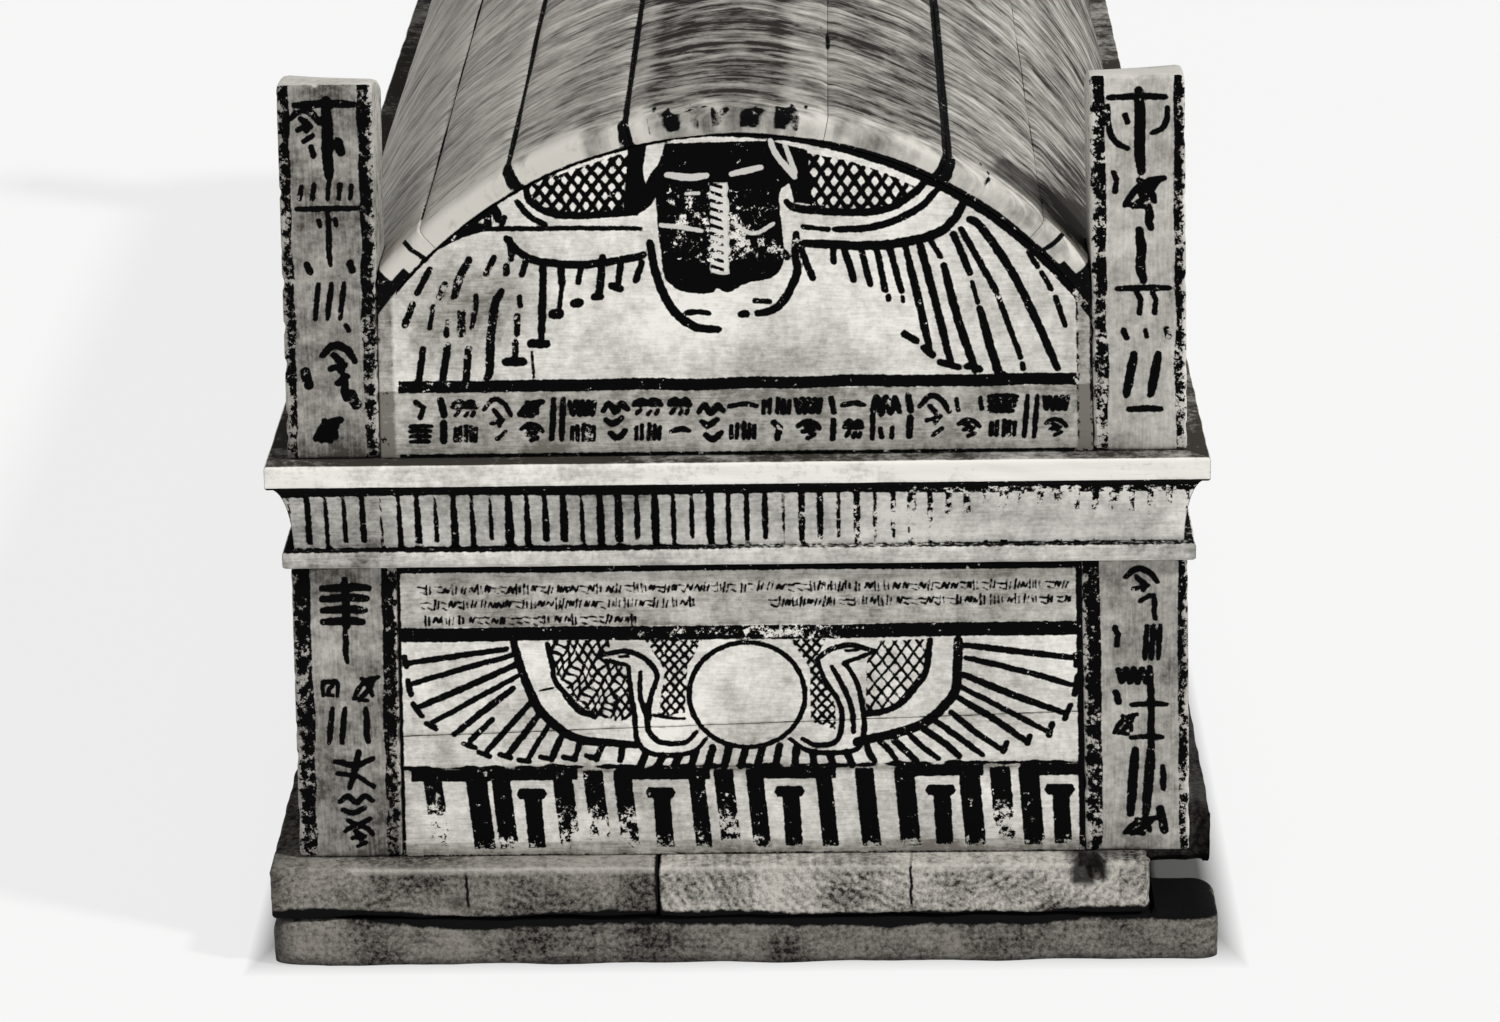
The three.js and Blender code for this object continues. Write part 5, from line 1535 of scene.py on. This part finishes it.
def paint_vault(angle_deg, y, radius, tint):
    """Black joint lines and hooks, ticks on the white nose, and streaks that sweep from each side.

    arc is the place round the vault and run the place along its surface, in mm from the front arris.
    The rim is white where run is less than a ragged 11 mm or so. Behind it the tone falls in a column
    along the crest and in smears; beside the lid posts and down at the springing lines it falls as
    painted shade, and a dark slanting patch near the right lid post is a painted shadow of that post.
    """
    arc = np.radians(angle_deg) * VAULT_RADIUS
    behind = y + HALF_LENGTH
    # the end face folds down in front of the nose, so run goes below zero there
    run = behind + np.where(behind < 0.01, radius - (VAULT_RADIUS - VAULT_NOSE), 0.0)
    joints = []
    for angle, width in INKED_JOINTS:
        place = math.radians(angle) * VAULT_RADIUS
        inward = -math.copysign(1, angle)
        joints.append(stroke([(place, 1200), (place, 60), (place, 26)], width, 0.0, 2))
        hook = [(place, 26), (place + 0.4 * inward, 12), (place - 1.5 * inward, 4), (place - 5 * inward, -6)]
        joints.append(stroke(hook, width * 0.9, 0.1))
    place = math.radians(STAVE_JOINTS_DEG[0]) * VAULT_RADIUS
    joints.append(stroke([(place, 1200), (place, 20)], 1.2, 0.3, 2))
    joints.append(stroke([(39.5, 170), (44.5, 150), (45, 120)], 1.6, 0.3))
    rng = np.random.default_rng(41)
    for x in np.arange(-37, 34, 4.1):
        high = 16 if abs(x + 4) > 30 else rng.uniform(2, 13)
        lean = rng.uniform(-2.2, 2.2)
        if rng.uniform() < 0.86:
            tick = [(x + rng.uniform(-1, 1), -3), (x + 0.3 * lean, high * 0.5), (x + lean, high)]
            joints.append(stroke(tick, rng.uniform(1.0, 2.0), 0.4, 3))
        if rng.uniform() < 0.4:
            dab = [(x + lean, high), (x + lean - 2, high - 1.5)]
            joints.append(stroke(dab, rng.uniform(1.8, 2.8), 0.3, 2))
    for x in (-169, 169):
        joints.append(stroke([(x, 7), (x - math.copysign(3, x), -8)], 2.2, 0.2, 3))
    joints.append(stroke([(121, 22), (126, 8), (122, -3)], 1.5, 0.2))
    ink = distance_to_strokes(arc, run, joints)
    under_line = run + 6.7 - 1.5 * np.clip((arc + 10) / 100, 0, 1) + 0.4 * slow_waves(arc, arc * 0, 40, 121)
    ink = np.minimum(ink, under_line)
    shoulder = np.maximum(177 - np.abs(arc), run + 2.5)
    ink = np.minimum(ink, np.minimum(shoulder, np.maximum(186 - np.abs(arc), run - 8)))
    ragged = 11 + 6 * slow_waves(arc, arc * 0, 45, 122) + 3 * slow_waves(arc, run, 9, 124)
    rim = np.clip(1 - (run - ragged) / 11, 0, 1) * np.where(behind < 80, 1, 0)
    stained = (patch(arc, run, 58, 6, 22, 9) + 0.7 * patch(arc, run, -58, 12, 10, 8)
               + 0.6 * patch(arc, run, 150, 4, 12, 10))
    rear_rim = np.clip((y - HALF_LENGTH + 14) / 6, 0, 1)
    off_centre = np.abs(arc + 7)
    column = 1 / (1 + np.exp((off_centre - 32) / 1.0))
    banks = column * np.exp(-((off_centre - 27) / 5) ** 2)
    mottled = 0.35 * slow_waves(arc, run, 26, 125) + 0.45 * slow_waves(arc, run * 1.5, 10, 126)
    smudged = np.clip(stained + 0.85 * column + 0.7 * patch(arc, run, -60, 3, 15, 10) + mottled, 0, 1.3)
    tone = tint - 0.22 + rim * (1.15 - 1.0 * smudged) + 0.6 * rear_rim
    tone = tone - (0.42 * column + 0.25 * banks) * (1 - rim)
    # painted shade beside the lid posts, deepest near the front
    beside = np.clip((np.abs(arc) - 165) / 25, 0, 1) * (1 - rim)
    tone = tone - (0.15 + 0.5 * np.exp(-behind / 160)) * beside
    # a painted shadow of the right lid post, slanting back across the vault
    tone = tone - 2.1 * patch(arc, run - 0.4 * (arc - 160), 182, 44, 25, 32) * (1 - rim)
    # painted shade low on both sides, at the springing lines
    springing_shade = np.clip((np.abs(arc) - 250) / 20, 0, 1)
    tone = tone - 0.20 * springing_shade
    for at, back, wide, long, depth in SMEARS:
        slant = behind + np.sign(arc) * (arc - at) * 0.35
        tone = tone - depth * patch(arc, slant, at, back, wide, long)
    sweep = np.abs(arc) * 0.95 - behind * 0.3
    across = behind * 0.95 + np.abs(arc) * 0.3 + 3 * slow_waves(arc, behind, 130, 123)
    wear = np.full(arc.shape, 0.3)
    return {"ink": ink, "tone": tone, "wear": wear, "sweep": sweep, "across": across}


def add_staves():
    """Seven staves from the left springing line to the right one, each with a tint of its own, the left ones
    lightened as painted light.
    """
    wash = limed_plank("limed_vault_plank")
    edges = (-SPRINGING_DEG, *STAVE_JOINTS_DEG, SPRINGING_DEG)
    for place, (first, last, tint) in enumerate(zip(edges[:-1], edges[1:], STAVE_TINTS_AND_FILL_LIGHT), start=1):
        angle, y, radius, quads, caps = stave_grid(first, last, STAVE_STEP)
        fields = paint_vault(np.degrees(angle).ravel(), y.ravel(), radius.ravel(), tint)
        bumps = 0.5 * slow_waves(angle * VAULT_RADIUS, y * 0.35, 30, 130 + place)
        lowered = radius - np.where(radius > VAULT_RADIUS - 1.5, np.clip(bumps + 0.3, 0, 1.2), 0)
        points = np.stack([lowered * np.sin(angle), y, VAULT_CENTRE_Z + lowered * np.cos(angle)], axis=-1)
        name = f"lid_stave_{place}"
        add_piece(name, points.reshape(-1, 3), quads, caps, wash, [name], fields)


add_staves()
